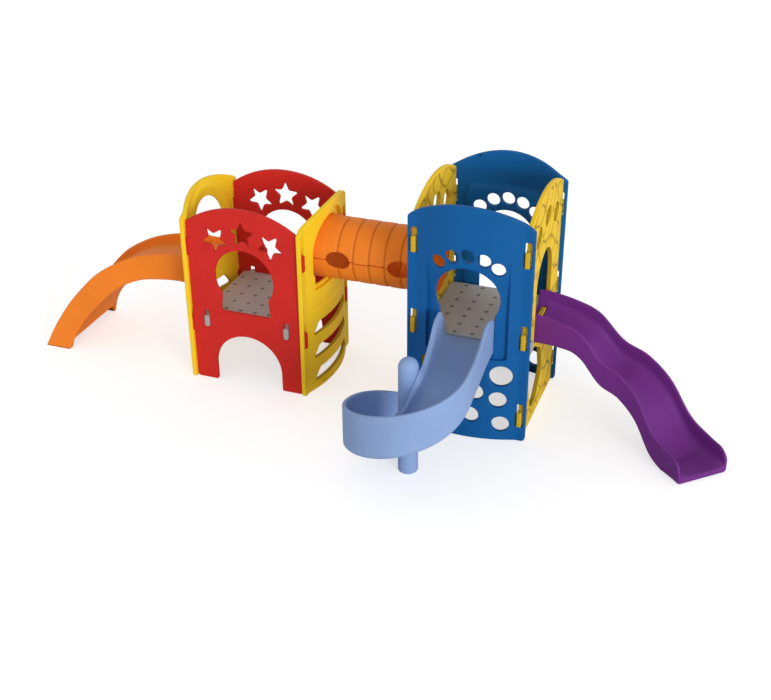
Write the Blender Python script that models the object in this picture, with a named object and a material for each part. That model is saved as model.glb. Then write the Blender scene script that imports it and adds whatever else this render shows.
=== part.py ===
# Modular play structure: a low tower and a tall tower of moulded plastic panels, a crawl tunnel
# between them and three slides. Metres, +Z up, -Y is the front, the low tower stands on the left.
# The origin is on the floor, in the middle of the structure's outline.

import math

import bmesh
import bpy
from mathutils import Matrix, Vector

# Clearance between faces that touch, and how far a cutter runs past what it cuts
TOUCH = 0.0003
CUT_REACH = 0.4
CUT_LAP = 0.01

# The panel system that both towers share
PANEL_WIDTH = 1.0
PANEL_THICKNESS = 0.038
PANEL_OVERHANG = 0.032
FLANGE_WIDTH = 0.072
BOW_DEPTH = 0.087
BOW_STEPS = 10
CORNER_RADIUS = 0.045
FOOT_RADIUS = 0.03
RECESS_DEPTH = 0.034
RECESS_WALL = 0.026
RECESS_LAP = 0.015
RECESS_LEDGE = 0.006

# Heights of the panels and decks, and the rise of each panel's arched top
RED_HEIGHT = 1.635
RED_RISE = 0.168
YELLOW_HEIGHT = 1.625
YELLOW_RISE = 0.13
BLUE_HEIGHT = 2.003
BLUE_RISE = 0.165
GOLD_DROP = 0.018
GOLD_RISE = 0.13
LOW_DECK = 0.62
HIGH_DECK = 0.83
DECK_THICKNESS = 0.10
DECK_LENGTH = 0.886

# Tabs and the slots that hold them: bottom of each tab, the tall tower's last one below its top
SLOT_WIDTH = 0.055
TAB_PROUD = 0.018
LOW_TABS = (0.455, 1.163)
LOW_TAB_HEIGHT = 0.165
LOW_SLOT_HEIGHT = 0.215
HIGH_TAB_FOOT = 0.135
HIGH_TAB_DROP = 0.465
HIGH_TAB_HEIGHT = 0.135
HIGH_SLOT_HEIGHT = 0.207
DECK_TAB_OFFSET = 0.3655
DECK_TAB_WIDTH = 0.045
DECK_SLOT_HEIGHT = 0.145

# Openings of the red panels, the stars above the middle of the window
STAR_RADIUS = 0.115
STAR_WAIST = 0.056
STAR_SIDE = 0.247
STAR_SIDE_RISE = 0.334
STAR_MIDDLE_RISE = 0.407
RED_WINDOW_HEIGHT = 1.003
RED_WINDOW_RADIUS = 0.267
RED_WINDOW_NECK = 0.214
RED_WINDOW_SILL_HALF = 0.231
RED_WINDOW_SILL = 0.683
CRAWL_HALF = 0.305
CRAWL_TOP = 0.468

# Openings of the blue panels
BLUE_WINDOW_HEIGHT = 1.235
BLUE_WINDOW_RADIUS = 0.258
BLUE_RECESS_HALF = 0.33
BLUE_RECESS_BOTTOM = 0.735
BLUE_RECESS_TOP = 1.665
DOT_RADIUS = 0.056
DOT_SIDES = 12
DOT_RING = 0.362
DOT_STEP = math.radians(20.3)
# Climbing holes on both sides of the middle, and one near it: distance out, height, radius
CLIMB_HOLES = ((0.291, 0.592, 0.091), (0.273, 0.374, 0.071), (0.301, 0.15, 0.070),
               (0.091, 0.431, 0.071))
CLIMB_MIDDLE = (0.060, 0.217, 0.070)
CLIMB_SIDES = 14

# Openings of the yellow panels
YELLOW_RECESS_RADIUS = 0.34
YELLOW_RECESS_HALF = 0.30
ENTRY_HALF = 0.27
RUNG_HALF = 0.332
RUNG_TOP_HALF = 0.27
RUNG_EDGE = 0.02
RUNG_HEIGHT = 0.108
RUNG_BOTTOMS = (0.083, 0.303, 0.525)

# Openings of the gold panels: leaves by their drop below the panel's top, the root by its height
DOOR_HALF = 0.25
DOOR_SPRING = 1.20
DOOR_APEX = 1.462
SILL_TAB_HALF = 0.15
SILL_TAB_RISE = 0.147
LEAF_LEFT = ((-0.245, 0.22), (-0.345, 0.33), (-0.315, 0.405), (-0.24, 0.387), (-0.16, 0.33),
             (-0.19, 0.26))
LEAF_MIDDLE = ((0.09, 0.17), (-0.065, 0.175), (-0.08, 0.255), (-0.045, 0.325), (0.03, 0.30),
               (0.10, 0.265))
LEAF_RIGHT = ((0.28, 0.225), (0.225, 0.28), (0.19, 0.352), (0.31, 0.41), (0.365, 0.355),
              (0.40, 0.29))
ROOT_HOLE = ((-0.395, 0.70), (-0.35, 0.42), (-0.25, 0.115), (-0.08, 0.125), (0.10, 0.33),
             (0.03, 0.56), (-0.20, 0.70))

# The crawl tunnel
TUNNEL_RADIUS = 0.262
TUNNEL_WALL = 0.016
TUNNEL_AXIS_HEIGHT = 1.213
TUNNEL_SIDES = 28
TUNNEL_FIT = 0.004
TUNNEL_REACH = 0.03
GROOVE_COUNT = 5
GROOVE_SPACING = 0.14
GROOVE_WIDTH = 0.028
GROOVE_DEPTH = 0.009
SEAM_STEP = 0.012
HAND_HOLE_LENGTH = 0.21
HAND_HOLE_HEIGHT = 0.155
HAND_HOLE_SPACING = 0.535

# Distance between the towers, from the inner face of one to the outer face of the other
TOWER_GAP = 0.986

# The wave slide: heights of its rim at equal steps along it, and its heading there
WAVE_LENGTH = 1.608
WAVE_WIDTH = 0.451
WAVE_WALL_HEIGHT = 0.214
WAVE_START_EXTRA = 0.045
WAVE_START_BED = 0.042
WAVE_START_SHARE = 0.2
WAVE_WALL = 0.024
WAVE_BOWL = 0.14
WAVE_RIM = (0.997, 0.961, 0.89, 0.703, 0.637, 0.503, 0.277, 0.203, 0.186)
WAVE_TURN = (0.0, -0.213, -0.522, -0.826)
WAVE_STEPS = 20

# The spiral slide and its post
POST_RADIUS = 0.078
POST_HEIGHT = 1.0
POST_FOOT_ROUND = 0.01
POST_ACROSS = -0.256
POST_DISTANCE = 0.578
POST_SIDES = 20
SPIRAL_OUTER_RADIUS = 0.5
SPIRAL_NECK_WIDTH = 0.436
SPIRAL_START_WALL = 0.018
SPIRAL_WALL = 0.034
SPIRAL_WALL_FULL = 0.42
SPIRAL_BOWL = 0.09
SPIRAL_FLOOR = 0.755
SPIRAL_STEPS = 22
# Along the straight part: distance out from the deck's edge, height of the rim and underside
SPIRAL_STRAIGHT = ((0.0, 0.83, 0.755), (0.045, 0.985, 0.755), (0.10, 1.075, 0.755),
                   (0.155, 1.118, 0.755), (0.21, 1.133, 0.748), (0.30, 1.125, 0.742),
                   (0.42, 1.062, 0.734), (0.545, 1.031, 0.723), (0.675, 1.007, 0.71))
# Round the post, at equal turns: height of the rim and of the underside
SPIRAL_RIM = (1.0, 0.912, 0.845, 0.78, 0.713, 0.64, 0.562, 0.493, 0.42, 0.35)
SPIRAL_UNDERSIDE = (0.697, 0.58, 0.49, 0.408, 0.338, 0.27, 0.19, 0.12, 0.05, 0.0)
# How far the inner wall's rim lies below the outer one: where the turn starts, and further round
SPIRAL_DROP_FROM = 0.30
SPIRAL_TURN_DROP = 0.07
SPIRAL_FULL_DROP = 0.14
SPIRAL_DROP_SHARE = 0.4
SPIRAL_TURN = math.radians(266)

# The arched slide, seen from the front: distance out from the tower and height
ARCH_RIM = ((0.0, 1.012), (0.15, 1.02), (0.34, 0.99), (0.54, 0.935), (0.725, 0.85), (0.935, 0.71),
            (1.145, 0.49), (1.262, 0.33), (1.363, 0.16), (1.435, 0.0))
ARCH_KEEL = ((0.0, 0.80), (0.16, 0.79), (0.32, 0.765), (0.50, 0.725), (0.67, 0.64), (0.815, 0.53),
             (0.97, 0.37), (1.07, 0.25), (1.14, 0.13), (1.19, 0.0))
ARCH_HALF_TOP = 0.245
ARCH_HALF_FOOT = 0.415
ARCH_DRIFT = -0.033
ARCH_FLARE_START = 0.25
ARCH_FLARE_POWER = 1.5
ARCH_WALL = 0.03
ARCH_RIM_ROUND = 0.01
ARCH_BED_DEPTH = 0.07
ARCH_BED_CURVE = 0.05
ARCH_STEPS = 18
ARCH_FOOT_GAP_HALF = 0.25
ARCH_FOOT_GAP_HEIGHT = 0.08
ARCH_FOOT_GAP_DEPTH = 0.10

# Beds, lips and bolts of the slides
BED_THICKNESS = 0.047
CHUTE_EDGE = 0.018
LIP_THICKNESS = 0.022
LIP_REACH = 0.06
LIP_RISE = 0.001
NECK_BED = 0.02
LIP_HALF = 0.20
LIP_ROOT = 0.03
BOLT_RADIUS = 0.005
BOLT_HEAD_RADIUS = 0.009
BOLT_HEAD_HEIGHT = 0.006
BOLT_SPREAD = 0.10
BOLT_SIDES = 12
BOLT_DEPTH = 0.014
WASHER_RADIUS = 0.012
WASHER_THICKNESS = 0.002
BOLT_PLAY = 0.0005
HOLE_MOUTH = 0.03
SCREW_FACETS = (6, 16)
SCREW_RISE = 0.17

# Places that follow from the sizes above
HALF = PANEL_WIDTH / 2
FLAT_FACE = HALF - PANEL_OVERHANG
BOWED_FACE = HALF + PANEL_THICKNESS
LOW_CENTRE = Vector((0.0, 0.0, 0.0))
HIGH_CENTRE = Vector((FLAT_FACE + HALF + TOWER_GAP, 0.0, 0.0))
TAB_LINE = FLAT_FACE - PANEL_THICKNESS / 2
FLAT_SIDE_COS = math.cos(math.pi / TUNNEL_SIDES)
TUNNEL_SILL = TUNNEL_AXIS_HEIGHT - TUNNEL_RADIUS * FLAT_SIDE_COS - TOUCH
WAVE_FLOOR = WAVE_RIM[0] - WAVE_WALL_HEIGHT - WAVE_START_EXTRA
GOLD_HEIGHT = BLUE_HEIGHT - GOLD_DROP
HIGH_TAB_TOP = BLUE_HEIGHT - HIGH_TAB_DROP
HIGH_TABS = (HIGH_TAB_FOOT, (HIGH_TAB_FOOT + HIGH_TAB_TOP) / 2, HIGH_TAB_TOP)

RED = (0.58, 0.03, 0.025)
YELLOW = (0.90, 0.62, 0.035)
BLUE = (0.012, 0.107, 0.332)
GOLD = (0.95, 0.60, 0.04)
ORANGE = (0.86, 0.23, 0.02)
PURPLE = (0.138, 0.021, 0.205)
LIGHT_BLUE = (0.23, 0.33, 0.62)
DECK_BROWN = (0.24, 0.195, 0.165)
STEEL = (0.62, 0.62, 0.62)


def clear_scene():
    for old in list(bpy.data.objects):
        bpy.data.objects.remove(old)


def make_material(name, colour, roughness=0.5, metallic=0.0):
    material = bpy.data.materials.new(name)
    material.use_nodes = True
    shader = material.node_tree.nodes["Principled BSDF"]
    shader.inputs["Base Color"].default_value = (*colour, 1.0)
    shader.inputs["Roughness"].default_value = roughness
    shader.inputs["Metallic"].default_value = metallic
    return material


def make_object(name, bm, material=None):
    bmesh.ops.recalc_face_normals(bm, faces=bm.faces)
    mesh = bpy.data.meshes.new(name)
    bm.to_mesh(mesh)
    bm.free()
    if material:
        mesh.materials.append(material)
    piece = bpy.data.objects.new(name, mesh)
    bpy.context.scene.collection.objects.link(piece)
    return piece


# A solid between rings of points, with a flat cap on each end
def loft(bm, rings):
    rows = [[bm.verts.new(point) for point in ring] for ring in rings]
    count = len(rows[0])
    for low, high in zip(rows, rows[1:]):
        for i in range(count):
            j = (i + 1) % count
            bm.faces.new((low[i], low[j], high[j], high[i]))
    bm.faces.new(rows[0])
    bm.faces.new(rows[-1])


# A panel's local frame: u along its width from the middle, depth inwards, z up
def extrude_depth(bm, outline, near, far):
    loft(bm, [[(u, depth, z) for u, z in outline] for depth in (near, far)])


def extrude_height(bm, outline, low, high):
    loft(bm, [[(x, y, z) for x, y in outline] for z in (low, high)])


def circle(u, z, radius, sides, turn=0.5):
    steps = [2 * math.pi * (i + turn) / sides for i in range(sides)]
    return [(u + radius * math.cos(a), z + radius * math.sin(a)) for a in steps]


def rectangle(left, right, bottom, top):
    return [(left, bottom), (right, bottom), (right, top), (left, top)]


def star(u, z, tip_up):
    blunt = math.radians(4)
    points = []
    for i in range(5):
        centre = math.radians(90 if tip_up else -90) + i * math.radians(72)
        for angle, radius in ((centre - blunt, STAR_RADIUS), (centre + blunt, STAR_RADIUS),
                              (centre + math.radians(36), STAR_WAIST)):
            points.append((u + radius * math.cos(angle), z + radius * math.sin(angle)))
    return points


# A circle on top, opening downwards between two cusps into a neck with a flat sill
def keyhole(z, radius, neck, sill_half, sill, sides=20):
    start = -math.acos(neck / radius)
    end = math.pi - start
    angles = [start + (end - start) * i / sides for i in range(sides + 1)]
    points = [(radius * math.cos(a), z + radius * math.sin(a)) for a in angles]
    return points + [(-sill_half, sill), (sill_half, sill)]


def arch(half, top, bottom, sides=14):
    spring = top - half
    angles = [math.pi * i / sides for i in range(sides + 1)]
    points = [(half * math.cos(a), spring + half * math.sin(a)) for a in angles]
    return points + [(-half, bottom), (half, bottom)]


# Two arcs that meet in a point over the middle, and a tab that stands on the sill
def pointed_arch(half, spring, apex, bottom, tab_half, tab_rise, sides=8):
    rise = apex - spring
    radius = (half * half + rise * rise) / (2 * half)
    sweep = math.atan2(rise, radius - half)
    angles = [sweep * i / sides for i in range(sides + 1)]
    right = [(half - radius + radius * math.cos(a), spring + radius * math.sin(a)) for a in angles]
    left = [(-u, z) for u, z in reversed(right[:-1])]
    sill = [(-half, bottom), (-tab_half, bottom), (-tab_half, bottom + tab_rise)]
    return right + left + sill + [(-u, z) for u, z in reversed(sill)]


# Cuts the corners of a closed outline twice, which leaves a soft organic loop
def soft_loop(points, rounds=2):
    for _ in range(rounds):
        cut = []
        for (u0, z0), (u1, z1) in zip(points, points[1:] + points[:1]):
            cut.append((0.75 * u0 + 0.25 * u1, 0.75 * z0 + 0.25 * z1))
            cut.append((0.25 * u0 + 0.75 * u1, 0.25 * z0 + 0.75 * z1))
        points = cut
    return points


# Height of a panel's edge at u: a shallow arch with a round corner at each end
def top_height(u, peak, rise):
    radius = (rise ** 2 + HALF ** 2) / (2 * rise)
    centre = peak - radius
    corner_u = HALF - CORNER_RADIUS
    corner_z = centre + math.sqrt((radius - CORNER_RADIUS) ** 2 - corner_u ** 2)
    joint = corner_u + CORNER_RADIUS * corner_u / (radius - CORNER_RADIUS)
    if abs(u) <= joint:
        return centre + math.sqrt(radius ** 2 - u ** 2)
    out = min(abs(u) - corner_u, CORNER_RADIUS)
    return corner_z + math.sqrt(CORNER_RADIUS ** 2 - out ** 2)


def foot_height(u):
    out = abs(u) - (HALF - FOOT_RADIUS)
    if out <= 0:
        return 0.0
    return FOOT_RADIUS - math.sqrt(FOOT_RADIUS ** 2 - min(out, FOOT_RADIUS) ** 2)


# How far a bowed panel's face stands out at u, beyond its flat edge flanges
def bow(u):
    half_arc = HALF - FLANGE_WIDTH
    radius = (BOW_DEPTH ** 2 + half_arc ** 2) / (2 * BOW_DEPTH)
    if abs(u) >= half_arc:
        return 0.0
    return math.sqrt(radius ** 2 - u ** 2) - (radius - BOW_DEPTH)


def edge_stations():
    corners = [HALF - CORNER_RADIUS * (1 - math.sin(math.radians(a))) for a in (30, 60, 90)]
    return [HALF - CORNER_RADIUS] + corners


def bow_stations():
    half_arc = HALF - FLANGE_WIDTH
    middle = [-half_arc + 2 * half_arc * i / BOW_STEPS for i in range(BOW_STEPS + 1)]
    side = edge_stations()
    return [-u for u in reversed(side)] + middle + side


# The flat panel's outline, with its tabs on both sides
def flat_outline(peak, rise, tab_bottoms, tab_height):
    stations = bow_stations()
    shrink = (HALF - TOUCH) / HALF
    reach = HALF + PANEL_THICKNESS + TAB_PROUD
    bottom = [(u * shrink, foot_height(u)) for u in stations]
    top = [(u * shrink, top_height(u, peak, rise)) for u in reversed(stations)]
    side = HALF - TOUCH
    right = []
    for low in tab_bottoms:
        high = low + tab_height
        right += [(side, low), (reach, low), (reach, high), (side, high)]
    left = [(-u, z) for u, z in reversed(right)]
    return bottom + right + top + left


def flat_panel(name, peak, rise, tab_bottoms, tab_height, material):
    bm = bmesh.new()
    outline = flat_outline(peak, rise, tab_bottoms, tab_height)
    extrude_depth(bm, outline, 0.0, PANEL_THICKNESS)
    return make_object(name, bm, material)


# A bowed plate: upright strips between two faces that follow the bow
def bowed_plate(name, stations, bottom, top, near, far, material=None):
    bm = bmesh.new()
    rings = []
    for u in stations:
        low = bottom(u)
        high = top(u)
        front = near - bow(u)
        back = far - bow(u)
        rings.append([(u, front, low), (u, front, high), (u, back, high), (u, back, low)])
    loft(bm, rings)
    return make_object(name, bm, material)


def bowed_panel(name, peak, rise, material):
    return bowed_plate(name, bow_stations(), foot_height, lambda u: top_height(u, peak, rise),
                       0.0, PANEL_THICKNESS, material)


def add_boolean(piece, other, operation):
    other.hide_render = True
    other.display_type = "WIRE"
    modifier = piece.modifiers.new(operation.lower(), "BOOLEAN")
    modifier.operation = operation
    modifier.solver = "EXACT"
    modifier.object = other


# One cutter holding several outlines, cut right through the panel
def cut_outlines(piece, label, outlines):
    bm = bmesh.new()
    for outline in outlines:
        extrude_depth(bm, outline, -CUT_REACH, CUT_REACH)
    cutter = make_object(piece.name + "_" + label, bm)
    cutter.parent = piece
    add_boolean(piece, cutter, "DIFFERENCE")


# A pan pushed inwards: the outline is cut out and a second wall closes it further in
def add_recess(piece, outline, wall_outline):
    cut_outlines(piece, "recess_cut", [outline])
    low = min(z for _, z in wall_outline) - RECESS_LAP
    high = max(z for _, z in wall_outline) + RECESS_LAP
    half = max(u for u, _ in wall_outline) + RECESS_LAP
    inside = [u for u in bow_stations() if abs(u) < half]
    stations = [-half] + inside + [half]
    wall = bowed_plate(piece.name + "_recess_wall", stations, lambda u: low, lambda u: high,
                       RECESS_DEPTH, RECESS_DEPTH + RECESS_WALL)
    bm = bmesh.new()
    extrude_depth(bm, wall_outline, -CUT_REACH, CUT_REACH)
    shape = make_object(piece.name + "_recess_shape", bm)
    shape.parent = wall
    add_boolean(wall, shape, "INTERSECT")
    wall.parent = piece
    add_boolean(piece, wall, "UNION")


# Stands a panel on its tower: turn 0 faces the front, 90 degrees the right, and so on
def place_panel(piece, centre, quarter, distance):
    angle = quarter * math.pi / 2
    outward = Vector((math.sin(angle), -math.cos(angle), 0.0))
    piece.location = centre + outward * distance
    piece.rotation_euler = (0.0, 0.0, angle)


def tab_slots(tab_bottoms, slot_height):
    slots = []
    for side in (-1, 1):
        for low in tab_bottoms:
            middle = side * TAB_LINE
            slots.append(rectangle(middle - SLOT_WIDTH / 2, middle + SLOT_WIDTH / 2,
                                   low - TOUCH, low + slot_height))
    return slots


def deck_slots(deck_top):
    slots = []
    for side in (-1, 1):
        middle = side * DECK_TAB_OFFSET
        low = deck_top - DECK_THICKNESS - TOUCH
        slots.append(rectangle(middle - DECK_TAB_WIDTH / 2 - TOUCH,
                               middle + DECK_TAB_WIDTH / 2 + TOUCH, low, low + DECK_SLOT_HEIGHT))
    return slots


def build_red_panel(name, quarter, material):
    panel = flat_panel(name, RED_HEIGHT, RED_RISE, LOW_TABS, LOW_TAB_HEIGHT, material)
    stars = [
        star(-STAR_SIDE, RED_WINDOW_HEIGHT + STAR_SIDE_RISE, False),
        star(0.0, RED_WINDOW_HEIGHT + STAR_MIDDLE_RISE, True),
        star(STAR_SIDE, RED_WINDOW_HEIGHT + STAR_SIDE_RISE, False),
    ]
    openings = [
        keyhole(RED_WINDOW_HEIGHT, RED_WINDOW_RADIUS, RED_WINDOW_NECK, RED_WINDOW_SILL_HALF,
                RED_WINDOW_SILL),
        arch(CRAWL_HALF, CRAWL_TOP, -CUT_LAP),
    ]
    cut_outlines(panel, "stars", stars)
    cut_outlines(panel, "openings", openings + deck_slots(LOW_DECK))
    place_panel(panel, LOW_CENTRE, quarter, FLAT_FACE)
    return panel


# A rung's opening: flat below, slanted in at both upper corners
def rung_outline(low):
    high = low + RUNG_HEIGHT
    edge = low + RUNG_EDGE
    return soft_corners([(-RUNG_HALF, low), (RUNG_HALF, low), (RUNG_HALF, edge),
                         (RUNG_TOP_HALF, high), (-RUNG_TOP_HALF, high), (-RUNG_HALF, edge)])


# Rounds each corner of an outline with a short cut
def soft_corners(points, size=0.012):
    cut = []
    for before, here, after in zip(points[-1:] + points[:-1], points, points[1:] + points[:1]):
        for other in (before, after):
            length = math.dist(here, other)
            share = min(size, 0.4 * length) / length
            cut.append((here[0] + share * (other[0] - here[0]),
                        here[1] + share * (other[1] - here[1])))
    return cut


def build_yellow_panel(name, quarter, material):
    panel = bowed_panel(name, YELLOW_HEIGHT, YELLOW_RISE, material)
    neck = YELLOW_RECESS_HALF
    sill = TUNNEL_SILL - RECESS_LEDGE
    recess = keyhole(TUNNEL_AXIS_HEIGHT, YELLOW_RECESS_RADIUS, neck, neck, sill)
    lap = RECESS_LAP
    wall = keyhole(TUNNEL_AXIS_HEIGHT, YELLOW_RECESS_RADIUS + lap, neck + lap, neck + lap,
                   sill - lap)
    add_recess(panel, recess, wall)
    entry = arch(ENTRY_HALF, TUNNEL_AXIS_HEIGHT + ENTRY_HALF, TUNNEL_SILL)
    rungs = [rung_outline(low) for low in RUNG_BOTTOMS]
    slots = tab_slots(LOW_TABS, LOW_SLOT_HEIGHT)
    cut_outlines(panel, "openings", [entry] + rungs + slots)
    place_panel(panel, LOW_CENTRE, quarter, BOWED_FACE)
    return panel


def build_blue_panel(name, quarter, material):
    panel = bowed_panel(name, BLUE_HEIGHT, BLUE_RISE, material)
    recess = rectangle(-BLUE_RECESS_HALF, BLUE_RECESS_HALF, BLUE_RECESS_BOTTOM, BLUE_RECESS_TOP)
    wall = rectangle(-BLUE_RECESS_HALF - RECESS_LAP, BLUE_RECESS_HALF + RECESS_LAP,
                     BLUE_RECESS_BOTTOM - RECESS_LAP, BLUE_RECESS_TOP + RECESS_LAP)
    add_recess(panel, recess, wall)
    half = SPIRAL_NECK_WIDTH / 2 + TOUCH
    openings = [keyhole(BLUE_WINDOW_HEIGHT, BLUE_WINDOW_RADIUS, half, half, SPIRAL_FLOOR - TOUCH)]
    for step in range(-2, 3):
        angle = math.pi / 2 + step * DOT_STEP
        openings.append(circle(DOT_RING * math.cos(angle),
                               BLUE_WINDOW_HEIGHT + DOT_RING * math.sin(angle), DOT_RADIUS,
                               DOT_SIDES))
    for side in (-1, 1):
        for out, height, radius in CLIMB_HOLES:
            openings.append(circle(side * out, height, radius, CLIMB_SIDES))
    openings.append(circle(*CLIMB_MIDDLE, CLIMB_SIDES))
    cut_outlines(panel, "openings", openings + tab_slots(HIGH_TABS, HIGH_SLOT_HEIGHT))
    place_panel(panel, HIGH_CENTRE, quarter, BOWED_FACE)
    return panel


def build_gold_panel(name, quarter, tunnel_side, material):
    panel = flat_panel(name, GOLD_HEIGHT, GOLD_RISE, HIGH_TABS, HIGH_TAB_HEIGHT, material)
    if tunnel_side:
        radius = TUNNEL_RADIUS + TUNNEL_FIT
        lift = TUNNEL_FIT * FLAT_SIDE_COS - TOUCH
        door = circle(0.0, TUNNEL_AXIS_HEIGHT + lift, radius, TUNNEL_SIDES)
    else:
        door = pointed_arch(DOOR_HALF, DOOR_SPRING, DOOR_APEX, WAVE_FLOOR - TOUCH, SILL_TAB_HALF,
                            SILL_TAB_RISE)
    leaves = []
    for leaf in (LEAF_LEFT, LEAF_MIDDLE, LEAF_RIGHT):
        leaves.append(soft_loop([(u, GOLD_HEIGHT - drop) for u, drop in leaf]))
    cut_outlines(panel, "door", [door] + deck_slots(HIGH_DECK))
    cut_outlines(panel, "leaves_and_root", leaves + [soft_loop(list(ROOT_HOLE))])
    place_panel(panel, HIGH_CENTRE, quarter, FLAT_FACE)
    return panel


# A deck: its tabs stand out to both sides of its local x and pass through the flat panels
def build_deck(name, centre, turned, top, material):
    across = FLAT_FACE - PANEL_THICKNESS - TOUCH
    along = DECK_LENGTH / 2
    reach = FLAT_FACE + TAB_PROUD
    half_tab = DECK_TAB_WIDTH / 2
    right = [(across, -along)]
    for side in (-1, 1):
        low = side * DECK_TAB_OFFSET - half_tab
        high = side * DECK_TAB_OFFSET + half_tab
        right += [(across, low), (reach, low), (reach, high), (across, high)]
    right.append((across, along))
    outline = right + [(-x, y) for x, y in reversed(right)]
    if turned:
        outline = [(-y, x) for x, y in outline]
    bm = bmesh.new()
    extrude_height(bm, outline, top - DECK_THICKNESS, top)
    deck = make_object(name, bm, material)
    deck.location = centre
    return deck


# Steps cut into the underside of the high deck, which take the lips of two slides
def cut_lip_rebates(deck):
    across = FLAT_FACE - PANEL_THICKNESS
    along = DECK_LENGTH / 2
    reach = LIP_REACH + TOUCH
    half = LIP_HALF + TOUCH
    below = HIGH_DECK - DECK_THICKNESS - CUT_LAP
    bm = bmesh.new()
    extrude_height(bm, rectangle(-half, half, -along - CUT_LAP, -along + reach), below,
                   SPIRAL_FLOOR + LIP_THICKNESS + TOUCH)
    extrude_height(bm, rectangle(across - reach, across + CUT_LAP, -half, half), below,
                   WAVE_FLOOR + LIP_THICKNESS + TOUCH)
    cutter = make_object("high_platform_rebates", bm)
    cutter.parent = deck
    add_boolean(deck, cutter, "DIFFERENCE")


# A tower's width between its bowed panels at the tunnel: where the tunnel's ends lie
def tunnel_ends():
    start = LOW_CENTRE.x + BOWED_FACE - PANEL_THICKNESS - TUNNEL_REACH
    end = HIGH_CENTRE.x - FLAT_FACE + PANEL_THICKNESS + TUNNEL_REACH
    return start, end


def groove_places():
    start, end = tunnel_ends()
    middle = (start + BOW_DEPTH + end) / 2
    return [middle + (i - (GROOVE_COUNT - 1) / 2) * GROOVE_SPACING for i in range(GROOVE_COUNT)]


def build_tunnel(material):
    start, end = tunnel_ends()
    outer = [(start, TUNNEL_RADIUS)]
    for place in groove_places():
        for shift, sink in ((-0.5, 0.0), (-0.2, 1.0), (0.2, 1.0), (0.5, 0.0)):
            outer.append((place + shift * GROOVE_WIDTH, TUNNEL_RADIUS - sink * GROOVE_DEPTH))
    outer.append((end, TUNNEL_RADIUS))
    inner = [(end, TUNNEL_RADIUS - TUNNEL_WALL), (start, TUNNEL_RADIUS - TUNNEL_WALL)]
    steps = [start - CUT_LAP] + groove_places() + [end + CUT_LAP]
    halves = []
    for name, side in (("tunnel_upper_half", 1), ("tunnel_lower_half", -1)):
        bm = bmesh.new()
        rings = []
        for x, radius in outer + inner:
            rings.append([bm.verts.new((x, u, z)) for u, z in
                          circle(0.0, TUNNEL_AXIS_HEIGHT, radius, TUNNEL_SIDES)])
        for low, high in zip(rings, rings[1:] + rings[:1]):
            for i in range(TUNNEL_SIDES):
                j = (i + 1) % TUNNEL_SIDES
                bm.faces.new((low[i], low[j], high[j], high[i]))
        half = make_object(name, bm, material)
        seam = []
        for i, (left, right) in enumerate(zip(steps, steps[1:])):
            up = 1 if i % 2 else -1
            level = TUNNEL_AXIS_HEIGHT + up * SEAM_STEP / 2 + side * TOUCH / 2
            inset = up * side * TOUCH / 2
            seam += [(left - inset, level), (right + inset, level)]
        far = TUNNEL_AXIS_HEIGHT - side * 2 * TUNNEL_RADIUS
        bm = bmesh.new()
        extrude_depth(bm, seam + [(seam[-1][0], far), (seam[0][0], far)], -CUT_REACH, CUT_REACH)
        cutter = make_object(name + "_seam", bm)
        add_boolean(half, cutter, "DIFFERENCE")
        halves.append(half)
    middle = sum(groove_places()) / GROOVE_COUNT
    for half in halves:
        bm = bmesh.new()
        for side in (-1, 1):
            place = middle + side * HAND_HOLE_SPACING / 2
            hole = circle(0.0, 0.0, 0.5, 20)
            extrude_depth(bm, [(place + u * HAND_HOLE_LENGTH,
                                TUNNEL_AXIS_HEIGHT + z * HAND_HOLE_HEIGHT) for u, z in hole],
                          -CUT_REACH, CUT_REACH)
        cutter = make_object(half.name + "_hand_holes", bm)
        add_boolean(half, cutter, "DIFFERENCE")
    return halves


# A smooth curve through points at equal steps, read at t from 0 to 1
def smooth_value(values, t):
    count = len(values) - 1
    place = min(max(t, 0.0), 1.0) * count
    i = min(int(place), count - 1)
    f = place - i
    p1 = values[i]
    p2 = values[i + 1]
    p0 = values[i - 1] if i > 0 else 2 * p1 - p2
    p3 = values[i + 2] if i + 2 <= count else 2 * p2 - p1
    return 0.5 * (2 * p1 + (p2 - p0) * f + (2 * p0 - 5 * p1 + 4 * p2 - p3) * f * f
                  + (3 * p1 - p0 - 3 * p2 + p3) * f ** 3)


# One side of a chute's section: across from its middle, height from its underside
def chute_side(half, height, wall, bed, bowl):
    rim = wall / 2
    side = [(-half + CHUTE_EDGE, 0.0), (-half, CHUTE_EDGE)]
    side += [(-half, height - 0.7 * rim), (-half + rim, height), (-half + wall, height - 0.7 * rim)]
    bowl = min(bowl, height - rim - bed)
    for angle in (0, 30, 60, 90):
        a = math.radians(angle)
        side.append((-half + wall + bowl * (1 - math.cos(a)), bed + bowl * (1 - math.sin(a))))
    return side


# The section of a chute, whose inner wall may be lower than its outer one
def chute_section(width, height, wall, bed, bowl, drop=0.0):
    outer = chute_side(width / 2, height, wall, bed, bowl)
    inner = chute_side(width / 2, height - drop, wall, bed, bowl)
    return outer + [(-u, w) for u, w in reversed(inner)]


def place_section(section, centre, heading, floor):
    across = Vector((-math.sin(heading), math.cos(heading), 0.0))
    return [centre + across * -u + Vector((0.0, 0.0, floor + w)) for u, w in section]


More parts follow.
